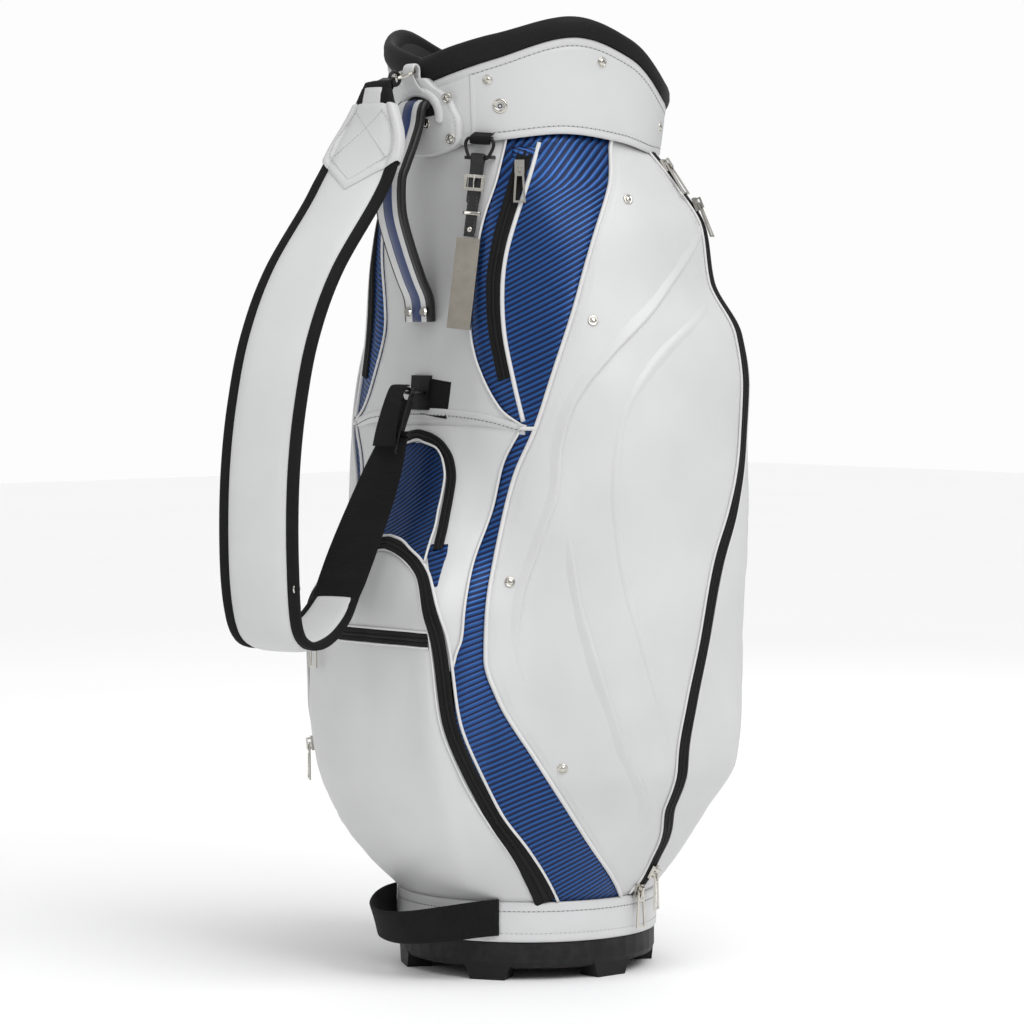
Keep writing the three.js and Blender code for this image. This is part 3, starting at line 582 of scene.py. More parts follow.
def rivet_parts(spots, surface=on_skin, lift=0.2, profile=RIVET):
    return [lathe(profile, surface(a, z, lift), skin_normal(a, z, surface)) for a, z in spots]


# ---- Sewn panels ---------------------------------------------------------------------------------
def edge_curve(*knots):
    """An edge's angle from the front, in degrees, by height."""
    return curve_through(list(knots))


ball_zip_edge = edge_curve((74, 56.9), (126, 45.1), (160, 37.5), (204, 31.9), (252, 28.1), (324, 25.8), (355, 23),
                           (378, 19.5), (395, 13.5), (404, 7), (408.5, 0.4))
stripe_edge = edge_curve((74, 59.5), (126, 47), (160, 39), (204, 33), (252, 29.4), (300, 29), (328, 31), (388, 32),
                         (446, 37), (482, 40), (514, 46))
side_edge = edge_curve((74, 94), (134, 70), (212, 51), (268, 40), (306, 36.5), (358, 37), (424, 40), (470, 44),
                       (514, 50.5), (570, 57), (624, 64), (696, 74), (750, 85), (792, 93))
spine_edge = edge_curve((514, 49.5), (528, 41), (562, 32), (590, 27.5), (610, 26), (692, 30), (750, 37), (792, 43))
garment_edge = edge_curve((74, 102), (94, 107), (121, 106.5), (164, 99.5), (212, 98), (260, 100.5), (317, 105),
                          (388, 109.5), (440, 115), (500, 120), (560, 121.5), (640, 123), (700, 123), (740, 121),
                          (767, 118))
window_edge = edge_curve((372, 18.5), (392, 18), (422, 18), (442, 17), (466, 17), (484, 15), (496, 11), (502.5, 0.4))
BACK = 158  # angle where the plain back panel starts
PANEL_TOP = 767  # height of the CAD panels' top, just under the collar
CROWN_START = 740  # above this height a panel stretches to follow the collar's edge


def levels(low, high, step=6.0):
    count = max(2, round((high - low) / step))
    return [low + (high - low) * n / count for n in range(count + 1)]


def rounding_off(low, high, top):
    """Even heights, then rows that crowd together under a rounded top."""
    return levels(low, high)[:-1] + [high + (top - high) * math.sin(math.pi / 2 * n / 14) for n in range(15)]


def crowned(angle, z):
    """The height of a point near a panel's top once it ends just under the collar's edge."""
    if z <= CROWN_START:
        return z
    return CROWN_START + (z - CROWN_START) * (collar_edge(folded(angle)) + 3 - CROWN_START) / (PANEL_TOP - CROWN_START)


def panel(name, left, right, heights, mat, slot="white_shell", lift=None, wobble=0.8, groove=1.5, spacing=5.0,
          hem=0.0, seed=0.0):
    """A sewn panel between two side edges, its border drawn down into the seams, with its own faint waves."""
    widest = max(math.radians(right(z) - left(z)) * skin((left(z) + right(z)) / 2, z) for z in heights)
    shares = spread(max(8, round(widest / spacing)))
    rows, cols = len(heights), len(shares)
    verts, uvs = [], []
    for i in range(-1, rows + 1):
        z = heights[min(max(i, 0), rows - 1)]
        low, high = left(z), right(z)
        for j in range(-1, cols + 1):
            angle = low + (high - low) * shares[min(max(j, 0), cols - 1)]
            reach = math.radians(skin(angle, z))
            depth = max(0.0, min((angle - low) * reach, (high - angle) * reach, z - heights[0], heights[-1] - z))
            wave = noise.noise(Vector((angle * 0.045, z * 0.011, seed))) * wobble
            wave += noise.noise(Vector((angle * 0.16, z * 0.035, seed + 7))) * wobble * 0.3
            rise = wave * (1 - math.exp(-depth / 18)) - groove * math.exp(-depth / 3.5)
            if hem:
                rise -= 0.45 * math.exp(-((depth - hem) / 1.3) ** 2)
            if lift:
                rise += lift(angle, z)
            if i in (-1, rows) or j in (-1, cols):
                rise -= 6.0
            top = crowned(angle, z)
            verts.append(polar(angle, skin(angle, top) + rise, top))
            uvs.append((math.radians(angle) * 0.17, z * MM))
    return add_object(name, verts, grid_faces(rows + 1, cols + 1), uvs, mat)


def negative(edge):
    return lambda z: -edge(z)


def sided(side, inner, outer):
    """The left and right edge of a right-hand panel, or of its mirror image."""
    return (inner, outer) if side > 0 else (negative(outer), negative(inner))


SIDES = [(1, "right", blue), (-1, "left", blue_left)]
ROWS = levels(74, PANEL_TOP)

ball_rows = rounding_off(74, 352, 408.5)
ball = panel("ball_pocket_skin", negative(ball_zip_edge), ball_zip_edge, ball_rows, white, spacing=6, groove=1.2,
             wobble=1.4, hem=9, seed=3)
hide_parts("ball_pocket")


def under_pocket(angle, z):
    """Sinks the pocket behind where the ball pocket's arch covers it."""
    return -2.4 if z < 408.5 and abs(angle) < ball_zip_edge(z) else 0.0


accessory = panel("accessory_pocket_skin", negative(stripe_edge), stripe_edge, levels(296, 517, 5), white,
                  lift=under_pocket, spacing=5, wobble=0.6, seed=5)
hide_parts("accessory_pocket")
panel("accessory_window", negative(window_edge), window_edge, rounding_off(374, 470, 502.5), blue_window,
      slot="blue_shell", lift=lambda angle, z: 1.0 if z > 409 or abs(angle) > ball_zip_edge(z) else -2.0,
      spacing=4, wobble=0.4, seed=6)
spine = panel("spine_skin", negative(spine_edge), spine_edge, levels(516, PANEL_TOP), white, wobble=0.5, seed=8)
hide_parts("spine_panel")

for side, suffix, cloth in SIDES:
    pocket = panel(f"valuables_skin_{suffix}", *sided(side, spine_edge, side_edge), levels(513, PANEL_TOP), cloth,
                   slot="blue_shell", seed=11 + side, wobble=0.7)
    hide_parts(f"valuables_pocket_{suffix}")
    stripe = panel(f"stripe_skin_{suffix}", *sided(side, stripe_edge, side_edge), levels(74, 517), cloth,
                   slot="blue_shell", seed=15 + side, wobble=0.7)
    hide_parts(f"stripe_panel_{suffix}")
    flank = panel(f"garment_skin_{suffix}", *sided(side, side_edge, garment_edge), ROWS, white, spacing=5,
                  wobble=1.3, hem=7, seed=19 + side)
    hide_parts(f"garment_pocket_{suffix}")
    rear = panel(f"rear_skin_{suffix}", *sided(side, garment_edge, lambda z: BACK), ROWS, white, spacing=6,
                 wobble=1.2, seed=23 + side)
    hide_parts(f"rear_gusset_{suffix}")
back = panel("back_skin", lambda z: BACK, lambda z: 360 - BACK, ROWS, white, spacing=6, wobble=0.5, hem=8, seed=29)
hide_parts("back_panel")


# ---- Seams, zips and pressed lines ---------------------------------------------------------------
def edge_knots(edge, low, high, step=12.0, shift=0.0):
    """Knots along an edge, moved to one side by a distance in millimetres."""
    knots = []
    for z in levels(low, high, step):
        angle = edge(z) + math.degrees(shift / skin(edge(z), z))
        knots.append((angle, crowned(angle, z)))
    return knots


def arch_knots(edge, low, high, top, shift=0.0):
    """Up one side of a rounded top and down the other, moved outwards by a distance."""
    right = []
    for z in rounding_off(low, high, top):
        reach = math.radians(skin(edge(z), z))
        right.append((edge(z) + shift / reach, z))
    while right and right[-1][0] < 2.5 + max(shift, 0) / 3:
        right.pop()
    crown = top + shift * 0.75
    return right + [(0.0, crown)] + mirror_knots(right)[::-1]


def long_zip_scale(t):
    """The ball pocket's zip is widest at the foot, where it is stitched into the band."""
    foot = min(t, 1 - t)
    return 1.0 + 0.75 * max(0.0, 1 - foot / 0.2) ** 1.6, 1.0


ball_arch = arch_knots(ball_zip_edge, 75, 352, 408.5)
zip_strip("ball_pocket_zip", ball_arch, 13.0, scale=long_zip_scale)
outer_edge = edge_curve((74, 61.9), (126, 48.9), (160, 40.4), (204, 34.3), (252, 30.4), (324, 27.9), (355, 25.3),
                        (378, 21.9), (395, 16.6), (404, 11.5), (412, 6), (414.5, 0.4))
piping("ball_pocket_piping", arch_knots(outer_edge, 75, 356, 414.5), radius=1.5, lift=0.9)
inner_edge = edge_curve((74, 52.2), (126, 41.4), (160, 34.6), (204, 29.5), (252, 26), (324, 23.8), (355, 20.8),
                        (378, 17), (392, 11), (400, 4.5), (402, 0.4))
piping("ball_pocket_inner_piping", arch_knots(inner_edge, 75, 350, 402), radius=0.9, lift=0.7)

face_line = [(-23.5, 324), (-12, 324), (0, 324), (12, 324), (23.5, 324)]
zip_strip("face_zip_tape", face_line, 12.0)
for name, shift in (("upper", 7.2), ("lower", -7.2)):
    piping(f"face_zip_{name}_piping", [(a, z + shift) for a, z in face_line], radius=1.0, lift=0.8)

window_zip_edge = edge_curve((382, 22.2), (398, 21.6), (422, 21), (442, 20.2), (466, 20), (484, 18), (498, 13),
                             (505, 7), (508, 0.4))
zip_strip("accessory_zip_tape", arch_knots(window_zip_edge, 404, 466, 508), 9.5, lift=1.6)
window_rim = arch_knots(window_edge, 392, 470, 502.5, shift=0.8)
piping("accessory_window_piping", window_rim, radius=1.2, lift=1.8)
for side, suffix, cloth in SIDES:
    panel(f"accessory_gusset_{suffix}",
          *sided(side, edge_curve((370, 23.2), (380, 21), (392, 18.6), (400, 17.4), (412, 17.8)),
                 edge_curve((370, 24.6), (380, 24.6), (392, 24.8), (402, 25.2), (412, 24.8))),
          levels(370, 412, 3), cloth, slot="blue_shell", lift=lambda a, z: 1.0, wobble=0.1, groove=1.8, spacing=3)
    stripe_line = edge_knots(stripe_edge, 300, 512)
    piping(f"stripe_inner_piping_{suffix}", on_side(side, stripe_line), radius=1.3)
    cross = [(side * a, 515.5) for a in (45.5, 48, 51)]
    piping(f"stripe_top_piping_{suffix}", cross, radius=2.0)
    long_edge = edge_knots(side_edge, 75, 766)
    piping(f"side_piping_{suffix}", on_side(side, long_edge), radius=2.1, lift=0.4)
    spine_line = edge_knots(spine_edge, 518, 766)
    piping(f"spine_piping_{suffix}", on_side(side, spine_line), radius=1.2)

    valuables_line = [(47.5, 770), (45.2, 752), (41.8, 722), (38.6, 692), (36.4, 658), (36.1, 636), (37, 605),
                      (40.6, 560)]
    zip_strip(f"valuables_zip_tape_{suffix}", on_side(side, valuables_line), 14.0)
    beside = [(53.4, 778), (49, 745), (43.8, 706), (40.4, 672), (39.4, 638), (40.4, 600), (43.6, 560), (47, 522)]
    piping(f"valuables_piping_{suffix}", on_side(side, beside), radius=2.1)
    fold = skin_line([(side * a, 769) for a in (42, 46, 50, 53.5)], 3.0, on_skin, 0.2)
    sweep(f"valuables_fold_{suffix}", fold, ellipse(10, 3.4, 12, 0.7), cloth)

    garment_line = on_side(side, edge_knots(garment_edge, 76, 766))
    zip_strip(f"garment_zip_tape_{suffix}", garment_line, 13.0)
    for shift, tone in ((-8.0, "front"), (8.0, "rear")):
        beside = on_side(side, edge_knots(garment_edge, 76, 766, shift=shift))
        piping(f"garment_piping_{tone}_{suffix}", beside, radius=1.3)
    back_line = [(side * BACK, crowned(BACK, z)) for z in levels(75, 766, 16)]
    piping(f"back_piping_{suffix}", back_line, radius=1.6)

yoke_line = [(-48, 517), (-34, 526), (-17, 530), (0, 531), (17, 530), (34, 526), (48, 517)]
frames = skin_line(yoke_line, 4.0, on_skin, 0.0)
WELT = [(-9, -1.4), (-6, 0.3), (-2, 1.0), (0.8, 1.3), (1.6, 0.7), (1.8, -0.8)]
sweep("yoke_hem", frames, WELT, white, closed=False)
stitches("yoke_stitches", [(p + o * 0.9 * MM + s * -4.5 * MM, s, o) for p, s, o in frames])

CREASE = [(-13, -1.6), (-8, 0.2), (-4, 1.5), (-1.6, 2.3), (-0.2, 2.4), (0.9, 1.7), (1.6, 0.5), (2.0, -0.6),
          (3.4, -1.4)]
ROLL = [(-7, -1.4), (-3.4, 0.4), (-1.5, 1.1), (0, 1.3), (1.5, 1.1), (3.4, 0.4), (7, -1.4)]
PRESSED = {
    "long": (CREASE, [(121, 698), (91, 624), (74, 580), (63, 540), (58.6, 500), (57, 455), (52, 410), (47, 365),
                      (45.4, 325), (48, 286)]),
    "lower": (CREASE, [(60, 430), (62, 392), (64, 354), (67, 320), (70, 288), (74, 250), (78, 216), (86, 178),
                       (94, 142)]),
    "soft": (ROLL, [(117, 634), (94, 590), (80, 545), (74.6, 495), (74, 434), (77, 370), (82, 318), (88, 265),
                    (94, 216)]),
}
for line, (profile, knots) in PRESSED.items():
    for suffix, side_knots in both_sides(knots):
        shape = profile if suffix == "right" else [(-x, y) for x, y in profile[::-1]]
        pressed = skin_line(side_knots, 4.0, on_skin, -0.1)
        sweep(f"pressed_{line}_{suffix}", pressed, shape, white, closed=False,
              scale=lambda t: (1.0, min(1.0, 0.2 + 6 * min(t, 1 - t))))


# ---- Rivets and stitched spots -------------------------------------------------------------------
for suffix, spots in both_sides([(89, 726), (70, 614), (43, 376), (59, 204)]):
    merged(f"side_rivets_{suffix}", rivet_parts(spots), chrome)
collar_spots = [(32, 835), (80, 852), (125, 796), (-32, 835), (-80, 852), (-125, 796)]
merged("collar_rivets", rivet_parts(collar_spots, on_collar, 0.4), chrome)
EYELET = [(7.0, -0.6), (7.0, 0.6), (6.4, 1.2), (5.0, 1.5), (3.8, 1.1), (3.2, 0.0), (2.9, -0.8)]
merged("collar_eyelet", rivet_parts([(37, 811)], on_collar, 0.4, EYELET), chrome)
EYELET_CORE = [(3.1, -0.8), (3.0, 0.0), (2.2, 0.5), (1.4, 0.6), (1.2, 0.1), (0.3, 0.0)]
merged("collar_eyelet_core", rivet_parts([(37, 811)], on_collar, 0.4, EYELET_CORE), hard_plastic)


# ---- Collar, its padded rim and the foot band ----------------------------------------------------
def hoop(name, section, mat, columns=180):
    """A closed ring round the bag, from a list of (radius, height) millimetres for each angle."""
    verts, uvs = [], []
    for n in range(columns):
        angle = 360 * n / columns
        run = 0.0
        points = section(angle)
        for k, (r, z) in enumerate(points):
            run += math.dist(points[k - 1], points[k]) * MM if k else 0
            verts.append(polar(angle, r, z))
            uvs.append((math.radians(angle) * 0.125, run))
    count = len(points)
    faces = []
    for n in range(columns):
        a, b = n * count, (n + 1) % columns * count
        faces += [[a + k, b + k, b + (k + 1) % count, a + (k + 1) % count] for k in range(count)]
    return add_object(name, verts, faces, uvs, mat)


def collar_section(angle):
    a = folded(angle)
    low, high = collar_edge(a), rim_edge(a)

    def outer(z, lift):
        return 125.5 + 6 * (z - low) / (high - low) + lift, z

    wave = 0.35 * noise.noise(Vector((angle * 0.07, 3.0, 0.0)))
    middle = low + (high - low) * 0.5
    faced = [outer(low + 0.2, -1.6), outer(low - 0.3, -0.2), outer(low + 0.6, 0.7), outer(low + 3, 0.9),
             outer(low + 5.8, 0.6), outer(low + 7, 0.25), outer(low + 8.2, 0.6), outer(low + 12, 0.9 + wave * 0.5),
             outer(middle, 0.8 + wave), outer(high - 12, 0.7 + wave * 0.5), outer(high - 8.6, 0.5),
             outer(high - 7.6, -0.1), outer(high - 6.8, 0.6), outer(high - 4, 1.0), outer(high - 1.2, 0.6),
             outer(high - 0.1, -0.6)]
    return faced + [(high_r - 3.6, z) for high_r, z in (outer(high - 0.3, 0), outer(low + 1, 0))]


collar = hoop("collar_skin", collar_section, white)
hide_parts("collar")


def on_collar_face(angle, z, lift=0.0):
    return on_collar(angle, z, lift + 0.45)


for name, edge, shift, lift in (("lower", collar_edge, 7.0, 0.1), ("upper", rim_edge, -7.6, -0.2)):
    row = skin_line([(24 + a, edge(folded(24 + a)) + shift) for a in range(0, 313, 6)], 4.0, on_collar_face, lift)
    stitches(f"collar_{name}_stitches", row)
seam_frames = skin_line([(24.5, 779), (24.5, 800), (24.5, 822), (24.5, 840)], 4.0, on_collar, 0.3)
sweep("collar_overlap", seam_frames, [(-7, -0.6), (-4, 0.5), (-0.6, 1.1), (0.3, 0.9), (0.5, -0.6)], white, closed=False)


def rim_section(angle):
    a = folded(angle)
    base = rim_edge(a) + 0.4
    wave = noise.noise(Vector((angle * 0.05, 0.0, 9.0))) + 0.5 * noise.noise(Vector((angle * 0.21, 4.0, 9.0)))
    tall = 8.5 + 4.5 * math.exp(-((a / 55) ** 2))
    points = []
    for n in range(20):
        turn = 2 * math.pi * n / 20 - math.pi / 2
        fat = 1.0 + 0.02 * wave
        seam = 0.7 * math.exp(-((n - 15) / 0.8) ** 2) + 0.5 * math.exp(-((n - 5) / 0.8) ** 2)
        r = 130 + (6.2 * fat - seam) * math.cos(turn)
        z = base + tall + (tall * fat - seam) * math.sin(turn)
        points.append((r, z))
    return points


rim = hoop("rim_roll", rim_section, knit_black)
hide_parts("rim_pad")


def lining_section(angle):
    a = folded(angle)
    top = rim_edge(a) + 6
    low = min(829.0, top - 3)
    middle = low + (top - low) * 0.4
    return [(121.6, low), (122.6, middle), (124.6, top), (123.4, top), (121.4, middle), (120.9, low)]


# The lining only shows where the collar stands above the divider's rim.
hoop("collar_lining", lining_section, lining)


def band_section(_angle):
    face = [(122.2, 36.4), (123.4, 36.6), (124.2, 38.5), (124.3, 43), (124.0, 44.6), (124.5, 46.5), (125.0, 55),
            (124.5, 63.5), (124.0, 65.2), (124.3, 67), (124.5, 71), (124.0, 73.3), (123.0, 74.2), (121.6, 74.0)]
    return face + [(118.6, 73.2), (118.6, 37)]


band = hoop("base_band_skin", band_section, white)
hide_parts("base_band")


def on_band(angle, z, lift=0.0):
    return polar(angle, 124.0 + lift, z)


for height in (44.8, 65.4):
    row = skin_line([(a, height) for a in range(0, 361, 6)], 4.0, on_band, 0.2)
    stitches(f"band_stitches_{round(height)}", row, holes=height > 60)
join = skin_line([(31, 38), (31, 55), (31, 73)], 3.0, on_band, 0.5)
sweep("band_overlap", join, [(-8, -0.7), (-4, 0.6), (-0.6, 1.2), (0.3, 1.0), (0.5, -0.6)], white, closed=False)


# ---- Ear, with the rings' loop and the handle's arch ---------------------------------------------
EAR_LIFT = 6.4
ear_left = curve_through([(766, -3), (769, -8), (774, -12.5), (784, -15.5), (800, -16.5), (815, -15), (828, -9.5),
                          (838, -5.5)])
ear_right = curve_through([(766, 5), (769, 11), (774, 17.5), (781, 20.4), (795, 20.6), (810, 18), (822, 14.5),
                           (830, 9), (838, 5.5)])


def on_ear(angle, z, lift=0.0):
    return on_collar(angle, z, EAR_LIFT + lift)


def ear_plate():
    heights = levels(766, 838, 2.4)
    shares = spread(26)
    rows, cols = len(heights), len(shares)
    verts, uvs = [], []
    for i in range(-1, rows + 1):
        z = heights[min(max(i, 0), rows - 1)]
        low, high = ear_left(z), ear_right(z)
        for j in range(-1, cols + 1):
            angle = low + (high - low) * shares[min(max(j, 0), cols - 1)]
            depth = min((angle - low) * 2.3, (high - angle) * 2.3, z - 765)
            rise = 0.9 - 2.4 * math.exp(-depth / 1.6) - 0.5 * math.exp(-((depth - 4.6) / 0.9) ** 2)
            rise += 4.2 * max(0.0, (z - 818) / 20) ** 1.5 * math.exp(-(angle / 6) ** 2)
            edge = i in (-1, rows) or j in (-1, cols)
            verts.append(on_ear(angle, z, rise - (7.5 if edge else 0)))
            uvs.append((math.radians(angle) * 0.13, z * MM))
    return add_object("ear_skin", verts, grid_faces(rows + 1, cols + 1), uvs, white)


ear = ear_plate()
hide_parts("ear")
loop_line = [(-135.5, 824), (-138.6, 831), (-139.6, 838), (-139.4, 844), (-140.4, 848.6), (-143.5, 850.4),
             (-146.6, 848.6), (-147.7, 844), (-147.2, 838), (-144.4, 831), (-139.6, 825)]
neck = plane_line(loop_line, 60)
sweep("ear_loop", neck, ellipse(14.5, 2.6, 16, 0.5), white,
      scale=lambda t: (1.0 + 0.8 * max(0.0, abs(t - 0.5) - 0.2) / 0.3, 1.0))


def patch(name, outline, surface, mat, lift=1.0, dome=0.6, square=False):
    """A sewn-on patch with rounded edges inside an outline of (angle, height) points."""
    if square:
        ring = [a.lerp(b, n / 8) for a, b in zip(*[[Vector((*p, 0)) for p in outline[k:] + outline[:k]]
                                                   for k in (0, 1)]) for n in range(8)]
    else:
        ring = smooth_line([Vector((*p, 0)) for p in outline], 64, loop=True)
    middle = sum(ring, Vector()) / len(ring)
    verts, uvs = [], []
    for share, rise in ((1.0, -2.5), (1.0, -0.4), (0.985, 0.0), (0.95, 0.3), (0.88, 0.4), (0.7, 0.6), (0.45, 0.9),
                        (0.2, 1.0), (0.02, 1.0)):
        for p in ring:
            at = middle.lerp(p, share)
            height = rise * dome if share < 0.95 else rise
            verts.append(surface(at.x, at.y, lift + height))
            uvs.append((math.radians(at.x) * 0.14, at.y * MM))
    faces = grid_faces(8, len(ring), wrap=True)
    faces.append([8 * len(ring) + n for n in range(len(ring))])
    add_object(name, verts, faces, uvs, mat)


patch("handle_opening", [(9.5, 804), (9, 812), (6, 819), (0, 822.5), (-6, 819), (-9, 812), (-9.5, 804), (0, 802)],
      on_ear, lining, lift=1.2)
arch = [(11.4 * math.sin(turn), 805 + 21 * math.cos(turn))
        for turn in [math.radians(d) for d in range(-112, 113, 16)]]
sweep("handle_arch", skin_line(arch, 2.5, on_ear, 1.0), ellipse(9.5, 6.4, 14), white)
merged("ear_rivets", rivet_parts([(15.4, 819), (16.2, 781.5), (-4, 779), (4.5, 796)], on_ear, 1.2), chrome)
merged("ear_stitch_rivet", rivet_parts([(-10.5, 812)], on_ear, 1.2), chrome)
rim_of_ear = [(ear_left(z) + 2.0, z) for z in levels(774, 826, 6)][::-1] + [(-3, 769.5), (2, 768.6), (7, 770)]
rim_of_ear += [(ear_right(z) - 2.0, z) for z in levels(776, 822, 6)]
stitches("ear_stitches", skin_line(rim_of_ear, 3.0, on_ear, 0.5), pitch=3.8, length=2.4, holes=False)


# ---- Handles -------------------------------------------------------------------------------------
def banded(name, line, profile, bands, body="bag", scale=None):
    """A swept strip whose profile points carry their own materials, as (material, first, last) columns."""
    strip = sweep(name, line, profile, bands[0][0], body, scale=scale)
    for index, (mat, first, last) in enumerate(bands[1:], 1):
        strip.data.materials.append(mat)
        for polygon in strip.data.polygons[:(len(line) - 1) * len(profile)]:
            if first <= polygon.index % len(profile) < last:
                polygon.material_index = index
    return strip


HANDLE_LINE = [(-136.6, 812), (-140.6, 813.5), (-144.2, 807), (-147, 793), (-155, 773), (-162.5, 757), (-168, 742),
               (-167, 712), (-156, 680), (-144, 653), (-134.6, 634), (-132.6, 613)]
HANDLE_PROFILE = [(-19, -1.5), (-17, -3.6), (-8, -4.0), (8, -4.0), (17, -3.6), (19, -1.5), (19.2, 1.2), (18.4, 3.4),
                  (17.2, 4.2), (16.6, 3.6), (12.8, 4.0), (6.6, 4.5), (6.0, 4.2), (5.4, 4.6), (0, 4.8), (-5.4, 4.6),
                  (-6.0, 4.2), (-6.6, 4.5), (-12.8, 4.0), (-16.6, 3.6), (-17.2, 4.2), (-18.4, 3.4), (-19.2, 1.2)]
blue_handle = leather("blue_handle_leather", 0.05, 0.075, 0.35, 0.0009, 0.00007, 0.2, (0.42, 0.75, 2.3))
handle = banded("carry_handle_grip", plane_line(HANDLE_LINE, 110), HANDLE_PROFILE,
                [(black_leather, 0, 0), (white_smooth, 10, 12), (blue_handle, 12, 17), (white_smooth, 17, 19)])
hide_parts("carry_handle")

base_line = smooth_line([Vector(p) * MM for p in [(-74, -101.5, 60), (-66, -122, 59), (-52, -144, 56),
                                                  (-28, -165, 52), (0, -172, 50), (28, -165, 52),
                                                  (52, -144, 56), (66, -122, 59), (74, -101.5, 60)]], 96)
base_frames = []
for n, p in enumerate(base_line):
    t = n / 96
    heading = (base_line[min(n + 1, 96)] - base_line[max(n - 1, 0)]).normalized()
    side = Vector((0, -0.45 * math.sin(math.pi * t) ** 2, 1)).normalized()
    base_frames.append((p, side, heading.cross(side).normalized()))
STRAP_PROFILE = [(-17, -0.6), (-16.4, -1.2), (-14, -1.3), (-5, -1.0), (5, -1.0), (14, -1.3), (16.4, -1.2), (17, -0.6),
                 (17, 0.6), (16.4, 1.2), (14, 1.3), (5, 1.0), (-5, 1.0), (-14, 1.3), (-16.4, 1.2), (-17, 0.6)]
base_handle = sweep("base_handle_webbing", base_frames, STRAP_PROFILE, webbing)
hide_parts("base_handle")


# ---- Shoulder strap ------------------------------------------------------------------------------
STRAP = "shoulder_strap"
PAD_LINE = [(-185, 827), (-194, 782), (-221, 730), (-272, 660), (-300, 600), (-315, 540), (-323, 480), (-325, 417),
            (-322, 360), (-314, 330), (-296, 320), (-272, 326), (-250, 342), (-236, 360)]
pad_frames = plane_line(PAD_LINE, 150, twist=lambda t: 20 * min(t / 0.15, 1))
pad_width = curve_through([(0, 0.45), (0.1, 1), (0.74, 1), (0.86, 0.92), (1, 0.6)])
PAD_HALF = [(-41, 0.0), (-40.8, 2.1), (-39.4, 3.4), (-36, 3.9), (-31.6, 3.7), (-30.4, 2.7), (-29.4, 3.2), (-26, 4.6),
            (-19, 5.6), (-10, 6.0), (0, 6.1)]
PAD_TOP = PAD_HALF + [(-x, y) for x, y in PAD_HALF[-2::-1]]
PAD_PROFILE = PAD_TOP + [(x, -y) for x, y in PAD_TOP[-2:0:-1]]
pad_ring = [(-x, y) for x, y in PAD_PROFILE]
pad_bands = [(white, 0, 0), (binding, 0, 5), (binding, 15, 25), (binding, 35, 40)]
pad = banded("shoulder_pad_cloth", pad_frames, pad_ring, pad_bands, STRAP,
             scale=lambda t: (pad_width(t), 1.0 - 0.5 * max(0.0, (t - 0.9) / 0.1)))
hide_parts("shoulder_pad")

pad_length = sum((b[0] - a[0]).length for a, b in zip(pad_frames, pad_frames[1:])) / MM


def on_pad(x, run, out=0.0):
    """A point of the strap: millimetres across it, down it from its top end, and out from its middle."""
    place = min(max(run / pad_length, 0.0), 0.9999) * (len(pad_frames) - 1)
    n = int(place)
    (p, s, o), (q, s2, o2) = pad_frames[n], pad_frames[n + 1]
    share = place - n
    point = p.lerp(q, share) + (q - p) * (run / pad_length * (len(pad_frames) - 1) - place)
    return point + s.lerp(s2, share).normalized() * (x * MM) + o.lerp(o2, share).normalized() * (out * MM)


def pad_face(x, run, lift=0.0):
    """A point on the outer face of the strap's pad."""
    across = min(abs(x) / (41 * pad_width(run / pad_length)), 1.0)
    return on_pad(x, run, 6.1 - 3.2 * across ** 3 + lift)


def pad_sleeve():
    """The folded cover over the strap's top end, pointed at its lower edge."""
    verts, uvs = [], []
    rows = 26
    for i in range(rows + 1):
        share = i / rows
        for x, y in pad_ring:
            end = 104 - 0.8 * abs(x)
            run = 13 + (end - 13) * share
            grown = 1.6 - 1.3 * math.exp(-(end - run) / 1.2) + 0.5 * math.exp(-((end - run - 3) / 1.5) ** 2)
            half = 41 * pad_width(max(run, 0) / pad_length) + 1.5
            wide = x / 41 * half
            deep = y * 1.02 + math.copysign(grown, y) * min(1.0, abs(y) / 1.5)
            if i == 0:
                wide, deep = wide * 0.9, deep * 0.55
            verts.append(on_pad(wide, run, deep))
            uvs.append((run * MM, x * MM))
    faces = grid_faces(rows, len(pad_ring), wrap=True)
    faces.append(list(range(len(pad_ring)))[::-1])
    return add_object("strap_top_cover", verts, faces, uvs, white, STRAP)


pad_sleeve()


def pad_line(points, count=24, lift=1.7):
    frames = []
    for n in range(count + 1):
        place = n / count * (len(points) - 1)
        k = min(int(place), len(points) - 2)
        x, run = [a + (b - a) * (place - k) for a, b in zip(points[k], points[k + 1])]
        point = pad_face(x, run, lift)
        out = (pad_face(x, run, lift + 5) - point).normalized()
        frames.append((point, Vector((1, 0, 0)), out))
    return frames


for name, points in {"rising": [(-31, 70), (17, 22)], "falling": [(31, 70), (-17, 22)],
                     "border": [(16, 20), (27, 34), (35, 50), (35, 66), (0, 94), (-35, 66), (-35, 50), (-27, 34),
                                (-16, 20)]}.items():
    stitches(f"strap_cover_{name}_stitches", pad_line(points, 60 if name == "border" else 24), pitch=3.4, length=2.7,
             body=STRAP, holes=False)

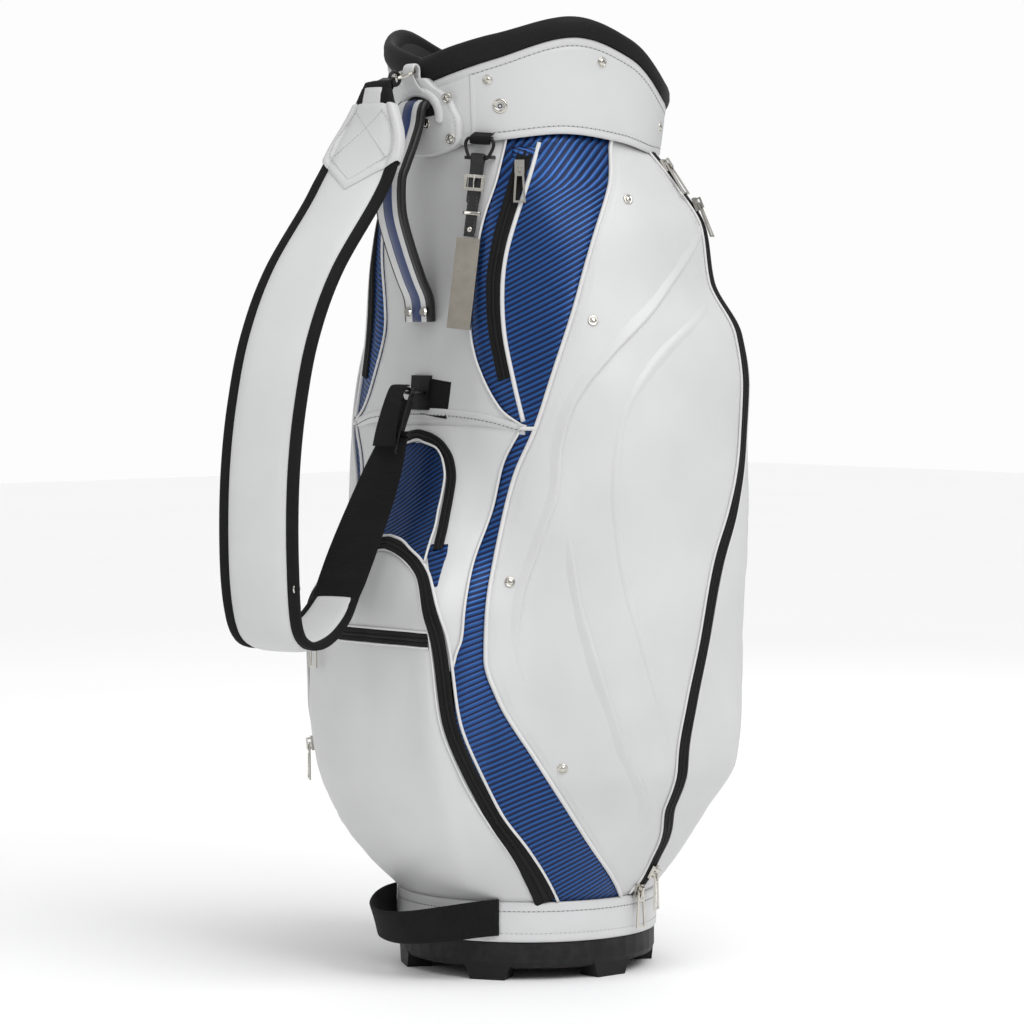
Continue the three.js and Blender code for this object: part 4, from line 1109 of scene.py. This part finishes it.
tab_profile = ellipse(2, 2, 24, 0.45)
tab_verts, tab_uvs = [], []
TAB_SECTIONS = [(-6.5, 14, 2.2), (-5.5, 16.5, 3.4), (-2, 17.6, 4.4), (6, 19.4, 5.2), (15, 22, 5.6), (18, 22.5, 5.0)]
for run, half, deep in TAB_SECTIONS:
    for x, y in tab_profile:
        tab_verts.append(on_pad(x * half, run, y * deep))
        tab_uvs.append((run * MM, x * half * MM))
tab_faces = grid_faces(5, 24, wrap=True) + [list(range(24))[::-1]]
add_object("strap_top_tab", tab_verts, tab_faces, tab_uvs, webbing, STRAP)
bar_line = plane_line([(-187, 819), (-184.4, 825.5), (-182.4, 831.5), (-179.6, 834), (-177.2, 832.6), (-177.6, 829),
                       (-181.4, 822)], 40)
sweep("strap_top_fold", bar_line, ellipse(30, 2.0, 16, 0.4), webbing, STRAP)

webbing_line = plane_line([(-248, 343), (-240, 354), (-234, 363.5), (-214, 405), (-192, 449), (-176, 483),
                           (-166.6, 504), (-165, 508)], 90,
                          twist=lambda t: 20 * (1 - t) + 26 * math.sin(math.pi * min(max(t * 1.15 - 0.14, 0), 1)))
gathered = [(x * 50 / 34, y) for x, y in STRAP_PROFILE]
strap_webbing = sweep("strap_webbing_belt", webbing_line, gathered, webbing, STRAP,
                      scale=lambda t: (1.0 - 0.24 * max(0.0, t * 1.15 - 0.15),
                                       1.0 + 0.5 * math.exp(-((t - 0.2) / 0.14) ** 2) * math.sin(t * 260) ** 2))
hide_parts("strap_webbing")
patch("strap_anchor_patch", [(-5, 563), (16, 557), (14.5, 523), (-5.5, 528)], on_skin, webbing, lift=0.5,
      dome=0.2, square=True)

fold_line = plane_line([(-155, 554), (-160, 553), (-164.5, 545), (-170, 530), (-175, 513), (-178, 498)], 40)
sweep("strap_hook_cover", fold_line, ellipse(21, 1.8, 16, 0.4), webbing, STRAP,
      scale=lambda t: (1.0 + 0.5 * t, 1.0))
gate_line = plane_line([(-152, 551), (-157, 548), (-164, 532), (-171, 512), (-176, 494), (-174, 491)], 40)
gate_line = [(p + Vector((15 * MM, 0, 0)), *rest) for p, *rest in gate_line]
sweep("strap_hook_gate", gate_line, ellipse(2.2, 2.2, 8), hard_plastic, STRAP)


def ring_loop(name, centre, axis, radius, wire, mat, body):
    """A round wire ring about an axis."""
    axis = axis.normalized()
    side = axis.orthogonal().normalized()
    other = axis.cross(side)
    line = []
    for n in range(40):
        turn = 2 * math.pi * n / 40
        out = side * math.cos(turn) + other * math.sin(turn)
        line.append((centre + out * (radius * MM), axis, out.normalized()))
    sweep(name, line, ellipse(2 * wire, 2 * wire, 8), mat, body, ends="join")


keeper = on_pad(38, pad_length * 0.765, -1.0)
ring_loop("strap_end_ring", keeper - Vector((0, 0, 6 * MM)), Vector((1, 0.3, 0)), 4.6, 0.8, chrome, STRAP)


# ---- Name tag ------------------------------------------------------------------------------------
TAG_PLACE = (Matrix.Rotation(math.radians(29), 4, "Z") @ Matrix.Translation((0, -0.137, 0.764))
             @ Matrix.Rotation(math.radians(-5.5), 4, "X") @ Matrix.Rotation(math.radians(5), 4, "Y"))


def on_tag(x, y, z):
    return TAG_PLACE @ (Vector((x, y, z)) * MM)


def tag_frames(points, count):
    """Frames along a line of (y, z) millimetres in the middle plane of the tag."""
    turn = TAG_PLACE.to_3x3()
    return [(TAG_PLACE @ p, turn @ s, turn @ o) for p, s, o in plane_line(points, count)]


TAG_LINE = [(0.75, -70), (0.75, -40), (0.8, -12), (1.6, -5), (3.0, -1), (2.4, 2.0), (0, 3.1), (-2.4, 2.0), (-3.0, -1),
            (-1.6, -5), (-0.8, -12), (-0.75, -40), (-0.75, -73.5)]
tag_strap = sweep("tag_strap_leather", tag_frames(TAG_LINE, 120), ellipse(12.8, 1.4, 16, 0.45), black_leather,
                  "name_tag", scale=lambda t: (1.0 if abs(t - 0.5) < 0.3 else 0.82, 1.0))
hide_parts("tag_strap")
for n, x in enumerate((-4.2, 4.2)):
    row = [(on_tag(x, -1.5, z), Vector((1, 0, 0)), on_tag(x, -5, z) - on_tag(x, -1.5, z)) for z in (-36, -48, -60, -71)]
    stitches(f"tag_stitches_{n}", row, pitch=3.0, length=2.2, body="name_tag", mat=shade,
             holes=False)


def frame_loop(name, z, width, height, depth, wire, mat):
    """A rounded rectangular wire band round the tag's strap."""
    turn = TAG_PLACE.to_3x3()
    corners = [(-width / 2, -depth / 2), (width / 2, -depth / 2), (width / 2, depth / 2), (-width / 2, depth / 2)]
    line = smooth_line([Vector((x, y, z)) for x, y in corners], 40, loop=True)
    points = [TAG_PLACE @ (p * MM) for p in line]
    return sweep(name, [(p, turn @ Vector((0, 0, 1)), (p - on_tag(0, 0, z)).normalized()) for p in points],
                 ellipse(height, wire, 8, 0.5), mat, "name_tag", ends="join")


frame_loop("tag_keeper", -52, 13.6, 3.2, 4.0, 0.9, chrome)
pin = [on_tag(0, -3.2, -30), on_tag(0, -4.2, -24), on_tag(0, -3.4, -16.6)]
pin_line = [(p, TAG_PLACE.to_3x3() @ Vector((1, 0, 0)), TAG_PLACE.to_3x3() @ Vector((0, -1, 0)))
            for p in smooth_line(pin, 10)]
sweep("tag_buckle_pin", pin_line, ellipse(1.5, 1.2, 8), chrome, "name_tag")
tag_rivet = lathe([(2.6, -0.6), (2.6, 0.4), (2.2, 0.9), (1.2, 1.2), (0.3, 1.3)], on_tag(0, -1.4, -67),
                  on_tag(0, -2, 0) - on_tag(0, 0, 0))
merged("tag_strap_rivet", [tag_rivet], chrome, "name_tag")

dee = [on_tag(x, 0, z) for x, z in [(-12.5, 16), (-13.5, 10), (-9.5, 0.5), (-6, -1.2), (6, -1.2), (9.5, 0.5),
                                    (13.5, 10), (12.5, 16), (8, 17.5), (-8, 17.5)]]
dee_line = smooth_line(dee, 60, loop=True)
dee_middle = on_tag(0, 0, 8)
tag_out = (on_tag(0, -1, 0) - on_tag(0, 0, 0)).normalized()
sweep("tag_dee_ring", [(p, tag_out, (p - dee_middle).normalized()) for p in dee_line], ellipse(3.2, 3.2, 8),
      hard_plastic, ends="join")
DEE_FOLD = [(9.5, 24), (4, 21.5), (-1.4, 19), (-2.6, 16), (-1.6, 13.2), (1.6, 13), (3.4, 16), (9.5, 20)]
dee_strap = tag_frames(DEE_FOLD, 60)
sweep("tag_dee_webbing", dee_strap, ellipse(19, 1.5, 16, 0.4), webbing)


# ---- Hard parts kept from the frame --------------------------------------------------------------
def dress(node, mat, rounded=0.0, segments=2):
    """Gives a frame part its finish, and rounded edges a few tenths of a millimetre wide."""
    obj = bpy.data.objects[node]
    for n in range(max(1, len(obj.material_slots))):
        if obj.material_slots:
            obj.material_slots[n].material = mat
        else:
            obj.data.materials.append(mat)
    if rounded:
        bevel = obj.modifiers.new("rounded edges", "BEVEL")
        bevel.width, bevel.segments = rounded * MM, segments
        bevel.limit_method, bevel.angle_limit = "ANGLE", math.radians(32)
        bevel.harden_normals = False


nodes = [part["node"] for part in frame["record"]["subparts"]]
dress("base_cap", plastic, 0.9, 3)
dress("divider_grid", knit_black, 1.3, 3)
for node in ("club_tube", "floor_pad", "divider_sheet_front", "divider_sheet_rear"):
    dress(node, lining)
for node in ("strap_anchor", "strap_hook_top", "strap_hook_low"):
    dress(node, hard_plastic, 0.9, 3)
dress("tag_loop", hard_plastic, 0.5)
dress("tag_plate", brushed, 0.5, 3)
dress("tag_buckle", chrome, 0.45, 3)
dress("ear_ring", chrome)
for node in nodes:
    if node.endswith("_slider"):
        dress(node, chrome, 0.7, 3)
    elif node.endswith("_tab"):
        dress(node, chrome, 0.35)
    elif node.startswith("handle_rivet"):
        dress(node, chrome, 0.5, 3)


# ---- Floor and light -----------------------------------------------------------------------------
floor_mat = Nodes("pale_floor")
floor_mat.set(Base_Color=floor_mat.mix(floor_mat.span(floor_mat.noise(1.5), 0.3, 0.7, 0.0, 1.0),
                                       grey(0.925), grey(0.935)), Roughness=0.7,
              Normal=floor_mat.bump(floor_mat.noise(220.0), 0.0001, 0.15), Specular_IOR_Level=0.2)
floor_mesh = bpy.data.meshes.new("floor")
floor_mesh.from_pydata([(-9, -9, 0), (9, -9, 0), (9, 9, 0), (-9, 9, 0)], [], [(0, 1, 2, 3)])
floor_mesh.materials.append(floor_mat.material)
floor = bpy.data.objects.new("floor", floor_mesh)
bpy.context.scene.collection.objects.link(floor)

world = bpy.data.worlds.new("studio")
world.use_nodes = True
sky = world.node_tree
direction = sky.nodes.new("ShaderNodeTexCoord")
upward = sky.nodes.new("ShaderNodeSeparateXYZ")
ramp = sky.nodes.new("ShaderNodeMapRange")
seen = sky.nodes.new("ShaderNodeLightPath")
plain = sky.nodes.new("ShaderNodeMix")
sky.links.new(direction.outputs["Generated"], upward.inputs[0])
sky.links.new(upward.outputs["Z"], ramp.inputs["Value"])
ramp.inputs["From Min"].default_value, ramp.inputs["From Max"].default_value = -0.1, 0.9
ramp.inputs["To Min"].default_value, ramp.inputs["To Max"].default_value = 0.3, 0.7
sky.links.new(seen.outputs["Is Camera Ray"], plain.inputs[0])
sky.links.new(ramp.outputs[0], plain.inputs[2])
plain.inputs[3].default_value = 0.98
sky.nodes["Background"].inputs["Color"].default_value = (1.0, 1.0, 1.0, 1.0)
sky.links.new(plain.outputs[0], sky.nodes["Background"].inputs["Strength"])
bpy.context.scene.world = world
bpy.context.scene.view_settings.view_transform = "Standard"


def area_light(name, place, size, power):
    data = bpy.data.lights.new(name, "AREA")
    data.shape, data.size, data.energy = "DISK", size, power
    light = bpy.data.objects.new(name, data)
    light.location = place
    light.rotation_euler = (Vector((0, 0, 0.45)) - light.location).to_track_quat("-Z", "Y").to_euler()
    bpy.context.scene.collection.objects.link(light)


area_light("key", toward * 2.3 + rightward * 1.5 + Vector((0, 0, 1.9)), 0.9, 12)
area_light("fill", toward * 1.6 - rightward * 2.2 + Vector((0, 0, 1.5)), 1.4, 7)
area_light("back", toward * -2.4 + rightward * 0.6 + Vector((0, 0, 2.0)), 2.0, 8)
overhead = bpy.data.objects.new("overhead", bpy.data.lights.new("overhead", "SUN"))
overhead.data.energy, overhead.data.angle = 1.6, math.radians(50)
overhead.rotation_euler = (toward * 0.9 + rightward * 0.7 + Vector((0, 0, 1.8))).to_track_quat("Z", "Y").to_euler()
bpy.context.scene.collection.objects.link(overhead)
